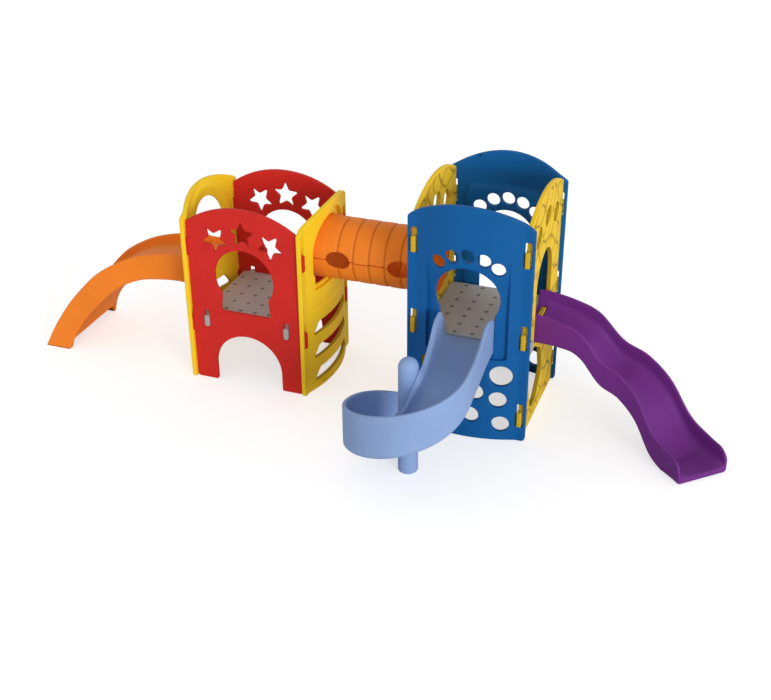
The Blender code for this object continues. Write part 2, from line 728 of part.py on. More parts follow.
def build_wave_slide(material):
    bm = bmesh.new()
    rings = []
    neck = PANEL_THICKNESS
    spot = Vector((HIGH_CENTRE.x + FLAT_FACE - neck + TOUCH, HIGH_CENTRE.y, 0.0))
    stride = WAVE_LENGTH / WAVE_STEPS
    for i in range(-1, WAVE_STEPS + 1):
        t = max(i, 0) / WAVE_STEPS
        heading = smooth_value(WAVE_TURN, t)
        rim = smooth_value(WAVE_RIM, t)
        fade = max(0.0, 1 - t / WAVE_START_SHARE)
        floor = max(rim - WAVE_WALL_HEIGHT - WAVE_START_EXTRA * fade, 0.0)
        bed = BED_THICKNESS + (WAVE_START_EXTRA + WAVE_START_BED) * fade
        section = chute_section(WAVE_WIDTH, rim - floor, WAVE_WALL, bed, WAVE_BOWL)
        rings.append(place_section(section, spot, heading, floor))
        step = neck if i < 0 else stride
        spot = spot + Vector((math.cos(heading), math.sin(heading), 0.0)) * step
    loft(bm, rings)
    slide = make_object("wave_slide", bm, material)
    inner = HIGH_CENTRE.x + FLAT_FACE - PANEL_THICKNESS
    add_lip(slide, (inner - LIP_REACH, inner + LIP_ROOT), (-LIP_HALF, LIP_HALF), WAVE_FLOOR)
    half = SILL_TAB_HALF + TOUCH
    bm = bmesh.new()
    extrude_height(bm, rectangle(inner - TOUCH, inner + neck + TOUCH, -half, half),
                   WAVE_FLOOR - CUT_LAP, WAVE_FLOOR + CUT_REACH)
    slot = make_object("wave_slide_slot", bm)
    add_boolean(slide, slot, "DIFFERENCE")
    return slide


def add_lip(slide, x_range, y_range, floor):
    bm = bmesh.new()
    extrude_height(bm, rectangle(*x_range, *y_range), floor + LIP_RISE, floor + LIP_THICKNESS)
    lip = make_object(slide.name + "_lip", bm)
    add_boolean(slide, lip, "UNION")


# Stations of the spiral slide, straight out of the tower and then clockwise round the post:
# middle, heading, width, rim, underside, wall, and how far the inner wall's rim lies lower
def spiral_stations():
    centre = post_centre()
    inner = post_clearance()
    width = SPIRAL_OUTER_RADIUS - inner
    radius = inner + width / 2
    deck_y = HIGH_CENTRE.y - DECK_LENGTH / 2 - TOUCH
    length = deck_y - centre.y
    through = HALF + PANEL_THICKNESS + BOW_DEPTH - DECK_LENGTH / 2
    stations = []
    for out, rim, floor in SPIRAL_STRAIGHT:
        f = max(0.0, (out - through) / (length - through))
        ease = f * f * (3 - 2 * f)
        shift = (centre.x + radius - HIGH_CENTRE.x) * ease
        across = SPIRAL_NECK_WIDTH + (width - SPIRAL_NECK_WIDTH) * ease
        spot = Vector((HIGH_CENTRE.x + shift, deck_y - out, 0.0))
        wall = SPIRAL_START_WALL + (SPIRAL_WALL - SPIRAL_START_WALL) * min(out / SPIRAL_WALL_FULL, 1)
        drop = SPIRAL_TURN_DROP * max(0.0, (out - SPIRAL_DROP_FROM) / (length - SPIRAL_DROP_FROM))
        stations.append((spot, -math.pi / 2, across, rim, floor, wall, drop))
    for i in range(SPIRAL_STEPS + 1):
        t = i / SPIRAL_STEPS
        angle = SPIRAL_TURN * t
        spot = centre + Vector((math.cos(angle), -math.sin(angle), 0.0)) * radius
        floor = max(smooth_value(SPIRAL_UNDERSIDE, t), 0.0)
        share = min(t / SPIRAL_DROP_SHARE, 1.0)
        drop = SPIRAL_TURN_DROP + (SPIRAL_FULL_DROP - SPIRAL_TURN_DROP) * share
        stations.append((spot, -math.pi / 2 - angle, width, smooth_value(SPIRAL_RIM, t), floor,
                         SPIRAL_WALL, drop))
    return stations


# The inner wall's facets cut across its circle, so its radius leaves room for them
def post_clearance():
    return (POST_RADIUS + TOUCH) / math.cos(SPIRAL_TURN / SPIRAL_STEPS / 2)


def post_centre():
    front = HIGH_CENTRE.y - BOWED_FACE - BOW_DEPTH
    return Vector((HIGH_CENTRE.x + POST_ACROSS, front - POST_DISTANCE, 0.0))


def build_spiral_slide(material):
    bm = bmesh.new()
    rings = []
    for spot, heading, width, rim, floor, wall, drop in spiral_stations():
        section = chute_section(width, rim - floor, wall, BED_THICKNESS, SPIRAL_BOWL, drop)
        rings.append(place_section(section, spot, heading, floor))
    loft(bm, rings)
    slide = make_object("spiral_slide", bm, material)
    edge = HIGH_CENTRE.y - DECK_LENGTH / 2
    add_lip(slide, (HIGH_CENTRE.x - LIP_HALF, HIGH_CENTRE.x + LIP_HALF),
            (edge - LIP_ROOT, edge + LIP_REACH), SPIRAL_FLOOR)
    return slide


# The post has a small round on its foot and a dome on its top
def build_spiral_post(material):
    bm = bmesh.new()
    rings = []
    for angle in (0, 45, 90):
        a = math.radians(angle)
        rings.append((POST_RADIUS - POST_FOOT_ROUND * (1 - math.sin(a)),
                      POST_FOOT_ROUND * (1 - math.cos(a))))
    for angle in (0, 30, 55, 75):
        a = math.radians(angle)
        rings.append((POST_RADIUS * math.cos(a), POST_HEIGHT - POST_RADIUS * (1 - math.sin(a))))
    loft(bm, [[(x, y, z) for x, y in circle(0.0, 0.0, radius, POST_SIDES)]
              for radius, z in rings])
    post = make_object("spiral_post", bm, material)
    post.location = post_centre()
    return post


# One section of the arched slide, standing between its keel and its rim
def arch_section(keel, rim, half, bed):
    height = math.dist(keel, rim)
    wall = ARCH_WALL
    inner = half - wall
    left = [(-half, 0.0), (-half, height - ARCH_RIM_ROUND), (-half + 0.3 * wall, height),
            (-half + 0.7 * wall, height), (-inner, height - ARCH_RIM_ROUND),
            (-inner + 0.2 * ARCH_BED_CURVE, height - 0.7 * bed),
            (-inner + ARCH_BED_CURVE, height - bed)]
    outline = left + [(-v, w) for v, w in reversed(left)]
    points = []
    for v, w in outline:
        f = w / height
        points.append((keel[0] + (rim[0] - keel[0]) * f, v, keel[1] + (rim[1] - keel[1]) * f))
    return points


def build_orange_slide(material):
    face = LOW_CENTRE.x - BOWED_FACE - BOW_DEPTH - TOUCH
    bm = bmesh.new()
    rings = []
    for i in range(ARCH_STEPS + 1):
        t = i / ARCH_STEPS
        rim = [smooth_value([point[k] for point in ARCH_RIM], t) for k in (0, 1)]
        keel = [smooth_value([point[k] for point in ARCH_KEEL], t) for k in (0, 1)]
        rim[1] = max(rim[1], 0.0)
        keel[1] = max(keel[1], 0.0)
        spread = max(0.0, (t - ARCH_FLARE_START) / (1 - ARCH_FLARE_START)) ** ARCH_FLARE_POWER
        half = ARCH_HALF_TOP + (ARCH_HALF_FOOT - ARCH_HALF_TOP) * spread
        drift = ARCH_DRIFT * spread
        rings.append([Vector((face - x, y + drift, z))
                      for x, y, z in arch_section(keel, rim, half, ARCH_BED_DEPTH)])
    loft(bm, rings)
    slide = make_object("orange_slide", bm, material)
    inner = LOW_CENTRE.x - HALF
    bm = bmesh.new()
    low = TUNNEL_SILL + TOUCH
    height = ARCH_RIM[0][1] - low
    neck = arch_section((0.0, low), (0.0, low + height), ARCH_HALF_TOP, height - NECK_BED)
    loft(bm, [[(x, v, z) for _, v, z in neck] for x in (face - CUT_LAP, inner)])
    collar = make_object("orange_slide_neck", bm)
    add_boolean(slide, collar, "UNION")
    bm = bmesh.new()
    flat = soft_corners(rectangle(ARCH_DRIFT - ARCH_FOOT_GAP_HALF, ARCH_DRIFT + ARCH_FOOT_GAP_HALF,
                                  -ARCH_FOOT_GAP_HEIGHT, ARCH_FOOT_GAP_HEIGHT),
                        ARCH_FOOT_GAP_HEIGHT / 2)
    back = face - ARCH_KEEL[-1][0]
    loft(bm, [[(x, y, z) for y, z in flat] for x in (back - ARCH_FOOT_GAP_DEPTH, back + CUT_REACH)])
    gap = make_object("orange_slide_foot_gap", bm)
    add_boolean(slide, gap, "DIFFERENCE")
    return slide


# Turned rings of the given radii, each at its distance along a direction from a place
def turned(bm, place, direction, rings):
    turn = Vector((0.0, 0.0, 1.0)).rotation_difference(direction).to_matrix().to_4x4()
    frame = Matrix.Translation(place) @ turn
    loft(bm, [[frame @ Vector((x, y, z)) for x, y in circle(0.0, 0.0, radius, BOLT_SIDES)]
              for radius, z in rings])


def add_bolt(bm, seat, direction, length):
    turned(bm, seat, direction, [(BOLT_HEAD_RADIUS, -BOLT_HEAD_HEIGHT), (BOLT_HEAD_RADIUS, 0.0),
                                 (BOLT_RADIUS, 0.0), (BOLT_RADIUS, length)])


# The hole that a bolt needs, with a sunk seat for its head where it has one
def add_bolt_hole(bm, seat, direction, length, sunk):
    shank = BOLT_RADIUS + BOLT_PLAY
    head = BOLT_HEAD_RADIUS + BOLT_PLAY
    start = -BOLT_HEAD_HEIGHT - HOLE_MOUTH
    rings = [(shank, start), (shank, length + BOLT_PLAY)]
    if sunk:
        rings = [(head, start), (head, TOUCH), (shank, TOUCH), (shank, length + BOLT_PLAY)]
    turned(bm, seat, direction, rings)


# One group of bolts, and the holes for them in the pieces that they join
def fasten(name, places, length, sunk, pieces, material):
    holes = bmesh.new()
    for number, (seat, direction) in enumerate(places, 1):
        bolt = bmesh.new()
        add_bolt(bolt, seat, direction, length)
        make_object(f"{name}_{number}", bolt, material)
        add_bolt_hole(holes, seat, direction, length, sunk)
    cutter = make_object(name + "_holes", holes)
    for piece in pieces:
        add_boolean(piece, cutter, "DIFFERENCE")


# Places under the two lips on the high deck: underside of each lip, pointing up
def lip_places():
    up = Vector((0.0, 0.0, 1.0))
    front = HIGH_CENTRE.y - (DECK_LENGTH - LIP_REACH) / 2
    right = HIGH_CENTRE.x + FLAT_FACE - PANEL_THICKNESS - LIP_REACH / 2
    spiral = []
    wave = []
    for side in (-1, 1):
        shift = side * BOLT_SPREAD
        spiral.append((Vector((HIGH_CENTRE.x + shift, front, SPIRAL_FLOOR + LIP_RISE)), up))
        wave.append((Vector((right, HIGH_CENTRE.y + shift, WAVE_FLOOR + LIP_RISE)), up))
    return spiral, wave


def build_washers(places, material):
    inner = BOLT_RADIUS + BOLT_PLAY
    for number, (seat, _) in enumerate(places, 1):
        bm = bmesh.new()
        rings = [[(seat.x + x, seat.y + y, seat.z + z) for x, y in circle(0.0, 0.0, r, BOLT_SIDES)]
                 for r, z in ((inner, -TOUCH), (WASHER_RADIUS, -TOUCH),
                              (WASHER_RADIUS, -TOUCH - WASHER_THICKNESS),
                              (inner, -TOUCH - WASHER_THICKNESS))]
        rows = [[bm.verts.new(point) for point in ring] for ring in rings]
        for low, high in zip(rows, rows[1:] + rows[:1]):
            for i in range(BOLT_SIDES):
                j = (i + 1) % BOLT_SIDES
                bm.faces.new((low[i], low[j], high[j], high[i]))
        make_object(f"slide_washer_{number}", bm, material)


# Bolts down through the arched slide's neck into the sill that it lies on
def sill_places():
    down = Vector((0.0, 0.0, -1.0))
    top = TUNNEL_SILL + TOUCH + NECK_BED - BOLT_HEAD_HEIGHT - TOUCH
    places = []
    for side in (-1, 1):
        y = side * BOLT_SPREAD
        x = LOW_CENTRE.x - BOWED_FACE - bow(y) + PANEL_THICKNESS / 2
        places.append((Vector((x, LOW_CENTRE.y + y, top)), down))
    return places


# Screws through the spiral slide's inner wall, each in the middle of one of its facets
def post_places():
    places = []
    face = (post_clearance() + SPIRAL_WALL) * math.cos(SPIRAL_TURN / SPIRAL_STEPS / 2)
    for number in SCREW_FACETS:
        t = (number + 0.5) / SPIRAL_STEPS
        angle = SPIRAL_TURN * t
        out = Vector((math.cos(angle), -math.sin(angle), 0.0))
        floor = smooth_value(SPIRAL_UNDERSIDE, t)
        seat = post_centre() + out * (face - BOLT_HEAD_HEIGHT - TOUCH)
        places.append((seat + Vector((0.0, 0.0, floor + SCREW_RISE)), -out))
    return places


def build_fasteners(pieces, material):
    spiral, wave = lip_places()
    deck = pieces["high_platform"]
    build_washers(spiral + wave, material)
    below = Vector((0.0, 0.0, -2 * TOUCH - WASHER_THICKNESS))
    length = LIP_THICKNESS + WASHER_THICKNESS + BOLT_DEPTH
    for name, places, slide in (("spiral_slide_bolt", spiral, "spiral_slide"),
                                ("wave_slide_bolt", wave, "wave_slide")):
        seats = [(seat + below, direction) for seat, direction in places]
        fasten(name, seats, length, False, [pieces[slide], deck], material)
    fasten("orange_slide_bolt", sill_places(), NECK_BED + BOLT_DEPTH, True,
           [pieces["orange_slide"], pieces["yellow_left_panel"]], material)
    fasten("post_screw", post_places(), SPIRAL_WALL + BOLT_DEPTH, True,
           [pieces["spiral_slide"], pieces["spiral_post"]], material)


# Moves everything so that the middle of the structure's outline stands over the origin
def centre_structure():
    bpy.context.view_layer.update()
    depsgraph = bpy.context.evaluated_depsgraph_get()
    corners = []
    for piece in bpy.data.objects:
        if not piece.hide_render:
            shape = piece.evaluated_get(depsgraph)
            corners += [piece.matrix_world @ Vector(corner) for corner in shape.bound_box]
    middle = Vector((0.0, 0.0, 0.0))
    for axis in (0, 1):
        places = [corner[axis] for corner in corners]
        middle[axis] = (min(places) + max(places)) / 2
    for piece in bpy.data.objects:
        if piece.parent is None:
            piece.location -= middle


def main():
    clear_scene()
    red = make_material("red_plastic", RED)
    yellow = make_material("yellow_plastic", YELLOW)
    blue = make_material("blue_plastic", BLUE)
    gold = make_material("gold_plastic", GOLD)
    orange = make_material("orange_plastic", ORANGE)
    purple = make_material("purple_plastic", PURPLE)
    light_blue = make_material("light_blue_plastic", LIGHT_BLUE)
    brown = make_material("deck_plastic", DECK_BROWN, 0.6)
    steel = make_material("steel", STEEL, 0.35, 1.0)

    build_red_panel("red_front_panel", 0, red)
    build_red_panel("red_back_panel", 2, red)
    build_yellow_panel("yellow_right_panel", 1, yellow)
    build_blue_panel("blue_front_panel", 0, blue)
    build_blue_panel("blue_back_panel", 2, blue)
    build_gold_panel("gold_right_panel", 1, False, gold)
    build_gold_panel("gold_left_panel", 3, True, gold)
    build_deck("low_platform", LOW_CENTRE, True, LOW_DECK, brown)
    build_tunnel(orange)
    pieces = {
        "yellow_left_panel": build_yellow_panel("yellow_left_panel", 3, yellow),
        "high_platform": build_deck("high_platform", HIGH_CENTRE, False, HIGH_DECK, brown),
        "wave_slide": build_wave_slide(purple),
        "spiral_slide": build_spiral_slide(light_blue),
        "spiral_post": build_spiral_post(light_blue),
        "orange_slide": build_orange_slide(orange),
    }
    cut_lip_rebates(pieces["high_platform"])
    build_fasteners(pieces, steel)
    centre_structure()


main()
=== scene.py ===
import math
from types import SimpleNamespace

import bmesh
import bpy
import numpy as np
from mathutils import Matrix, Vector
from mathutils.geometry import delaunay_2d_cdt


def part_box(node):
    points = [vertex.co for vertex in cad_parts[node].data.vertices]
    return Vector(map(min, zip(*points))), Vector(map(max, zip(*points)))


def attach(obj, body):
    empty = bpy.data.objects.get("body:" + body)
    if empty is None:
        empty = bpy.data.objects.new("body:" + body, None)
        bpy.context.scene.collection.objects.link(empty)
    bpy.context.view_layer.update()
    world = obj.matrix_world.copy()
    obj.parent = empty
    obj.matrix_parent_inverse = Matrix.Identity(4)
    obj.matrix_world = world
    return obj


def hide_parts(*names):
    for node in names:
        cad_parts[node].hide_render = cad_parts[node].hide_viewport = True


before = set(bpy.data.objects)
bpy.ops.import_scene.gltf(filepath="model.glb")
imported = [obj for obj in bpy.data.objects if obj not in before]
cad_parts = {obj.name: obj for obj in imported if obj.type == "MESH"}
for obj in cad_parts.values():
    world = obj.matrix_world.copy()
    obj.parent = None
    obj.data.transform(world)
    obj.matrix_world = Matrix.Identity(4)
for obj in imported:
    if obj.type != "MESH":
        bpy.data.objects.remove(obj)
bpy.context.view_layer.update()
print("frame loaded")

panelSystem = {
    "half": 0.5,  # half of a panel's width
    "thickness": 0.038,
    "flatFace": 0.468,  # tower centre to the outer face of a flat panel
    "bowedFace": 0.538,  # tower centre to the flat flange of a bowed panel
    "flange": 0.072, "bowDepth": 0.087, "bowBlend": 0.012,
    "cornerRadius": 0.045, "footRadius": 0.03, "edgeRadius": 0.009, "holeEdge": 0.008,
    "tabLine": 0.449, "slotWidth": 0.055, "slotRound": 0.012,
    "tabRootRound": 0.014, "tabTipRound": 0.012,
    "deckTabLine": 0.3655, "deckSlotHalf": 0.0235, "deckSlotRound": 0.008,
    "deckSlotBelow": 0.101, "deckSlotAbove": 0.045,  # from the deck's top
    "arcRound": 0.2, "topArcRound": 0.3,  # corner radius between the short chords of an arc
    "loopSpacing": 0.008, "arcSpacing": 0.007, "circleSpacing": 0.006, "slotSpacing": 0.005,
    "panFade": 0.01,  # a pan's slope on the back ends this far before an edge
    "cutWidth": 0.0025,
}
panels = SimpleNamespace(**panelSystem)


def boxMiddle(*nodes):
    # the middle of the box round all the named nodes
    corners = np.array([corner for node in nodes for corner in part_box(node)])
    return (corners.min(0) + corners.max(0)) / 2


lowTower = boxMiddle("red_front_panel", "red_back_panel")
tallTower = boxMiddle("blue_front_panel", "blue_back_panel")


# outlines

def roundCorners(points, radius, steps=7):
    # each corner becomes an arc between two tangent points, its centre on the corner's bisector
    points = np.asarray(points, float)
    radius = np.broadcast_to(np.asarray(radius, float), points.shape[:-1])
    toLast, toNext = (np.roll(points, way, -2) - points for way in (1, -1))
    lastLength, nextLength = (np.linalg.norm(side, axis=-1) for side in (toLast, toNext))
    toLast = toLast / lastLength[..., None]
    toNext = toNext / nextLength[..., None]
    half = 0.5 * np.arccos(np.clip((toLast * toNext).sum(-1), -0.999999, 0.999999))
    reach = np.minimum(radius / np.tan(half), 0.48 * np.minimum(lastLength, nextLength))
    bisector = toLast + toNext
    bisector = bisector / (np.linalg.norm(bisector, axis=-1, keepdims=True) + 1e-12)
    centre = points + bisector * (reach / np.cos(half))[..., None]
    start = points + toLast * reach[..., None] - centre
    stop = points + toNext * reach[..., None] - centre
    sweep = (np.pi - 2 * half)[..., None]
    part = np.linspace(0, 1, steps)
    fromStart = (np.sin((1 - part) * sweep) / np.sin(sweep))[..., None]
    fromStop = (np.sin(part * sweep) / np.sin(sweep))[..., None]
    arcs = centre[..., None, :] + fromStart * start[..., None, :] + fromStop * stop[..., None, :]
    return arcs.reshape(points.shape[:-2] + (-1, points.shape[-1]))


def evenLoop(points, spacing):
    # the same closed line with points at an even distance, anticlockwise
    points = np.asarray(points, float)
    x, y = points.T
    if (x * np.roll(y, -1) - np.roll(x, -1) * y).sum() < 0:
        points = points[::-1]
    closed = np.vstack([points, points[:1]])
    along = np.concatenate([[0], np.cumsum(np.linalg.norm(np.diff(closed, axis=0), axis=1))])
    count = max(int(round(along[-1] / spacing)), 16)
    at = np.arange(count) * along[-1] / count
    return np.column_stack([np.interp(at, along, closed[:, 0]), np.interp(at, along, closed[:, 1])])


def outwards(loop):
    # unit normal of an anticlockwise loop, pointing away from its inside
    tangent = np.roll(loop, -1, 0) - np.roll(loop, 1, 0)
    tangent = tangent / np.linalg.norm(tangent, axis=1, keepdims=True)
    return np.column_stack([tangent[:, 1], -tangent[:, 0]])


def softLoop(corners, radius, spacing=panels.loopSpacing):
    # the closed line with round corners and points at an even distance
    return evenLoop(roundCorners(corners, radius), spacing)


def arc(u, z, radius, angle):
    # points on a circle round (u, z) at the given angles
    return np.column_stack([u + radius * np.cos(angle), z + radius * np.sin(angle)])


def circleLoop(u, z, radius):
    # a whole circle round (u, z)
    around = arc(u, z, radius, np.linspace(0, 2 * np.pi, 96, endpoint=False))
    return evenLoop(around, panels.circleSpacing)


def rectangleLoop(left, right, bottom, top, radius):
    # an upright rectangle with four round corners
    return softLoop([(left, bottom), (right, bottom), (right, top), (left, top)], radius,
                    panels.slotSpacing)


def starLoop(u, z, turn, s):
    # tips and waists take turns every 36 degrees
    angle = math.radians(turn) + np.arange(10) * np.pi / 5
    waist = np.arange(10) % 2
    corners = arc(u, z, np.where(waist, s.starWaist, s.starTip), angle)
    return softLoop(corners, np.where(waist, s.starWaistRound, s.starTipRound), s.starSpacing)


def arcLoop(points, corners, rounds):
    # an arc's points and the corners that close it; rounds holds the radius of some of them
    corners = np.vstack([points, corners])
    radius = np.full(len(corners), panels.arcRound)
    for at, value in rounds.items():
        radius[at] = value
    return softLoop(corners, radius, panels.arcSpacing)


def keyholeLoop(z, radius, neck, sillHalf, sill, cusp, corner=0.02):
    # most of a circle, open downwards between two cusps into a neck with a flat sill
    start = -math.acos(neck / radius)
    return arcLoop(arc(0, z, radius, np.linspace(start, np.pi - start, 60)),
                   [(-sillHalf, sill), (sillHalf, sill)],
                   {0: cusp, 59: cusp, -2: corner, -1: corner})


def archLoop(half, top, bottom):
    # a half circle on straight sides with a flat foot
    return arcLoop(arc(0, top - half, half, np.linspace(0, np.pi, 40)),
                   [(-half, bottom), (half, bottom)], {-2: 0.02, -1: 0.02})


def pointedArchLoop(half, spring, apex, bottom, tabHalf, tabTop):
    # two arcs that meet in a point over the middle, and a tab that stands on the sill
    rise = apex - spring
    radius = (half * half + rise * rise) / (2 * half)
    right = arc(half - radius, spring, radius, np.linspace(0, math.atan2(rise, radius - half), 24))
    sill = [(-half, bottom), (-tabHalf, bottom), (-tabHalf, tabTop), (tabHalf, tabTop),
            (tabHalf, bottom), (half, bottom)]
    rounds = {23: 0.04, **{at: 0.02 for at in range(-6, 0)}}
    return arcLoop(np.vstack([right, right[-2::-1] * (-1, 1)]), sill, rounds)


def tabCorners(inner, outer, low, high, rootRound):
    # the corners of a tab that stands out from inner to outer, with a radius each
    return [(inner, low, rootRound), (outer, low, panels.tabTipRound),
            (outer, high, panels.tabTipRound), (inner, high, rootRound)]


def panelOutline(s):
    # a panel with an arched top, round corners, tabs on its sides and an arch out of its foot
    half, foot = panels.half, panels.footRadius
    radius = (s.rise ** 2 + half ** 2) / (2 * s.rise)
    sweep = math.asin(half / radius)
    right = []
    for low in getattr(s, "tabBottoms", ()):
        right += tabCorners(half, half + s.tabReach, low, low + s.tabHeight, panels.tabRootRound)
    left = [(-u, z, r) for u, z, r in reversed(right)]
    angle = np.linspace(sweep, -sweep, 41)
    top = np.column_stack([radius * np.sin(angle), s.peak - radius + radius * np.cos(angle),
                           np.full(41, panels.topArcRound)])
    top[[0, -1], 2] = panels.cornerRadius
    corners = [(half, 0.0, foot), *right, *top.tolist(), *left, (-half, 0.0, foot)]
    if hasattr(s, "crawlHalf"):
        arch = arc(0, s.crawlTop - s.crawlHalf, s.crawlHalf, np.linspace(np.pi, 0, 31))
        corners += [(-s.crawlHalf, 0.0, panels.tabRootRound),
                    *((u, z, panels.arcRound) for u, z in arch),
                    (s.crawlHalf, 0.0, panels.tabRootRound)]
    corners = np.array(corners)
    return softLoop(corners[:, :2], corners[:, 2])


# surfaces

def roundedEdge(radius, front, back, steps=5):
    # from the front face over a quarter round, straight through, and over a quarter round
    angle = np.linspace(0, np.pi / 2, steps)
    over = np.column_stack([radius * (1 - np.sin(angle)), front + radius * (1 - np.cos(angle))])
    under = over[::-1] * (1, -1) + (0, front + back)
    return np.vstack([over, under])


def strip(loop, profile, place, intoMaterial=1.0):
    # a profile of (offset, depth) carried along a closed loop, offset along the loop's normal
    normal = outwards(loop) * intoMaterial
    flat = loop[:, None, :] + normal[:, None, :] * profile[None, :, :1]
    depth = np.broadcast_to(profile[None, :, 1], flat.shape[:2])
    points = place(flat[..., 0].ravel(), flat[..., 1].ravel(), depth.ravel())
    return points, gridFaces(len(loop), len(profile), True, False)


def gridFaces(rows, columns, closeRows, closeColumns):
    # quads between neighbours of a grid, which may close on itself either way
    i = np.arange(rows if closeRows else rows - 1)[:, None]
    j = np.arange(columns if closeColumns else columns - 1)[None, :]
    nextI, nextJ = (i + 1) % rows, (j + 1) % columns
    quads = [i * columns + j, nextI * columns + j, nextI * columns + nextJ, i * columns + nextJ]
    return np.stack([np.broadcast_to(q, (len(i), j.shape[1])) for q in quads], -1).reshape(-1, 4)


def insideLoops(points, loops):
    # even-odd rule: how many edges a ray to the right crosses
    inside = np.zeros(len(points), bool)
    for loop in loops:
        x0, y0 = loop.T
        x1, y1 = np.roll(loop, -1, 0).T
        px, py = points[:, 0, None], points[:, 1, None]
        spans = (y0 > py) != (y1 > py)
        slope = (x1 - x0) / np.where(y1 == y0, 1e-12, y1 - y0)
        inside ^= (np.count_nonzero(spans & (px < x0 + (py - y0) * slope), axis=1) % 2).astype(bool)
    return inside


def nearestEdge(points, loops):
    # distance from each point to the nearest point of any loop
    edge = np.vstack(loops)
    parts = [np.sqrt(((part[:, None] - edge[None]) ** 2).sum(-1).min(1))
             for part in np.array_split(points, len(points) // 400 + 1)]
    return np.concatenate(parts)


def shadeOnOpeningWalls(u, z, loops):
    # 1 on the walls of the openings, which get painted shade
    return 1.0 * (nearestEdge(np.column_stack([u, z]), loops) < panels.cutWidth)


def net(loops, spacing=None):
    # triangles inside the first loop and outside the others, with a grid of points where it bends
    flat = np.vstack(loops)
    starts = np.cumsum([0] + [len(loop) for loop in loops[:-1]])
    edges = []
    for loop, start in zip(loops, starts):
        own = np.arange(len(loop))
        edges.append(np.column_stack([own, (own + 1) % len(loop)]) + start)
    if spacing:
        stepU, stepZ = spacing
        low, high = flat.min(0), flat.max(0)
        u, z = np.meshgrid(np.arange(low[0], high[0], stepU), np.arange(low[1], high[1], stepZ))
        grid = np.column_stack([u.ravel(), z.ravel()])
        grid = grid[insideLoops(grid, loops)]
        grid = grid[nearestEdge(grid, loops) > 0.45 * min(stepU, stepZ)]
        flat = np.vstack([flat, grid])
    found, _, faces, *_ = delaunay_2d_cdt(flat.tolist(), np.vstack(edges).tolist(), [], 0,
                                               1e-7)
    found, faces = np.array(found), np.array(faces)
    return found, faces[insideLoops(found[faces].mean(1), loops)]


def sheet(flat, depth, place):
    # lays a net in its place, at one depth or at a depth for each point
    points, faces = flat
    level = depth(points[:, 0], points[:, 1]) if callable(depth) else np.full(len(points), depth)
    return place(points[:, 0], points[:, 1], level), faces


def joinPatches(name, patches):
    # one closed mesh from patches that meet at their borders, its faces turned outwards
    faces, start = [], 0
    for points, patch in patches:
        faces += (patch + start).tolist()
        start += len(points)
    mesh = bpy.data.meshes.new(name)
    mesh.from_pydata(np.vstack([points for points, _ in patches]).tolist(), [], faces)
    bm = bmesh.new()
    bm.from_mesh(mesh)
    bmesh.ops.remove_doubles(bm, verts=bm.verts, dist=2e-5)
    bmesh.ops.delete(bm, geom=[v for v in bm.verts if not v.link_faces], context="VERTS")
    bmesh.ops.recalc_face_normals(bm, faces=bm.faces)
    bm.to_mesh(mesh)
    bm.free()
    return mesh


def addObject(name, data):
    # a new object in the scene
    made = bpy.data.objects.new(name, data)
    bpy.context.scene.collection.objects.link(made)
    return made


def carve(mesh, cutters):
    # takes the closed cutters out of a closed mesh
    body = addObject("carved", mesh)
    tools = [addObject("cutter", joinPatches("cutter", cutter)) for cutter in cutters]
    for tool in tools:
        cut = body.modifiers.new("cut", "BOOLEAN")
        cut.operation, cut.solver, cut.object = "DIFFERENCE", "EXACT", tool
    bpy.context.view_layer.update()
    result = body.evaluated_get(bpy.context.evaluated_depsgraph_get())
    done = bpy.data.meshes.new_from_object(result)
    for old in [body] + tools:
        bpy.data.objects.remove(old)
    done.name = mesh.name
    return done


def buildMesh(name, patches, finish, nodes, shade=None, cutters=()):
    # joins the patches and gives the piece its finish; shade(points) is how much painted shade
    # darkens it there
    mesh = joinPatches(name, patches)
    if cutters:
        mesh = carve(mesh, cutters)
    mesh.polygons.foreach_set("use_smooth", np.ones(len(mesh.polygons), bool))
    mesh.materials.clear()
    mesh.materials.append(finishes[finish])
    if shade:
        points = np.empty(len(mesh.vertices) * 3)
        mesh.vertices.foreach_get("co", points)
        values = mesh.attributes.new("shade", "FLOAT", "POINT")
        values.data.foreach_set("value", shade(points.reshape(-1, 3)))
    piece = addObject(name, mesh)
    even = piece.modifiers.new("even shading", "WEIGHTED_NORMAL")
    even.keep_sharp = True
    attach(piece, "root")
    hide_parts(*nodes)


def offsetLoop(loop, distance):
    # the loop moved outwards along its normals
    return loop + outwards(loop) * distance


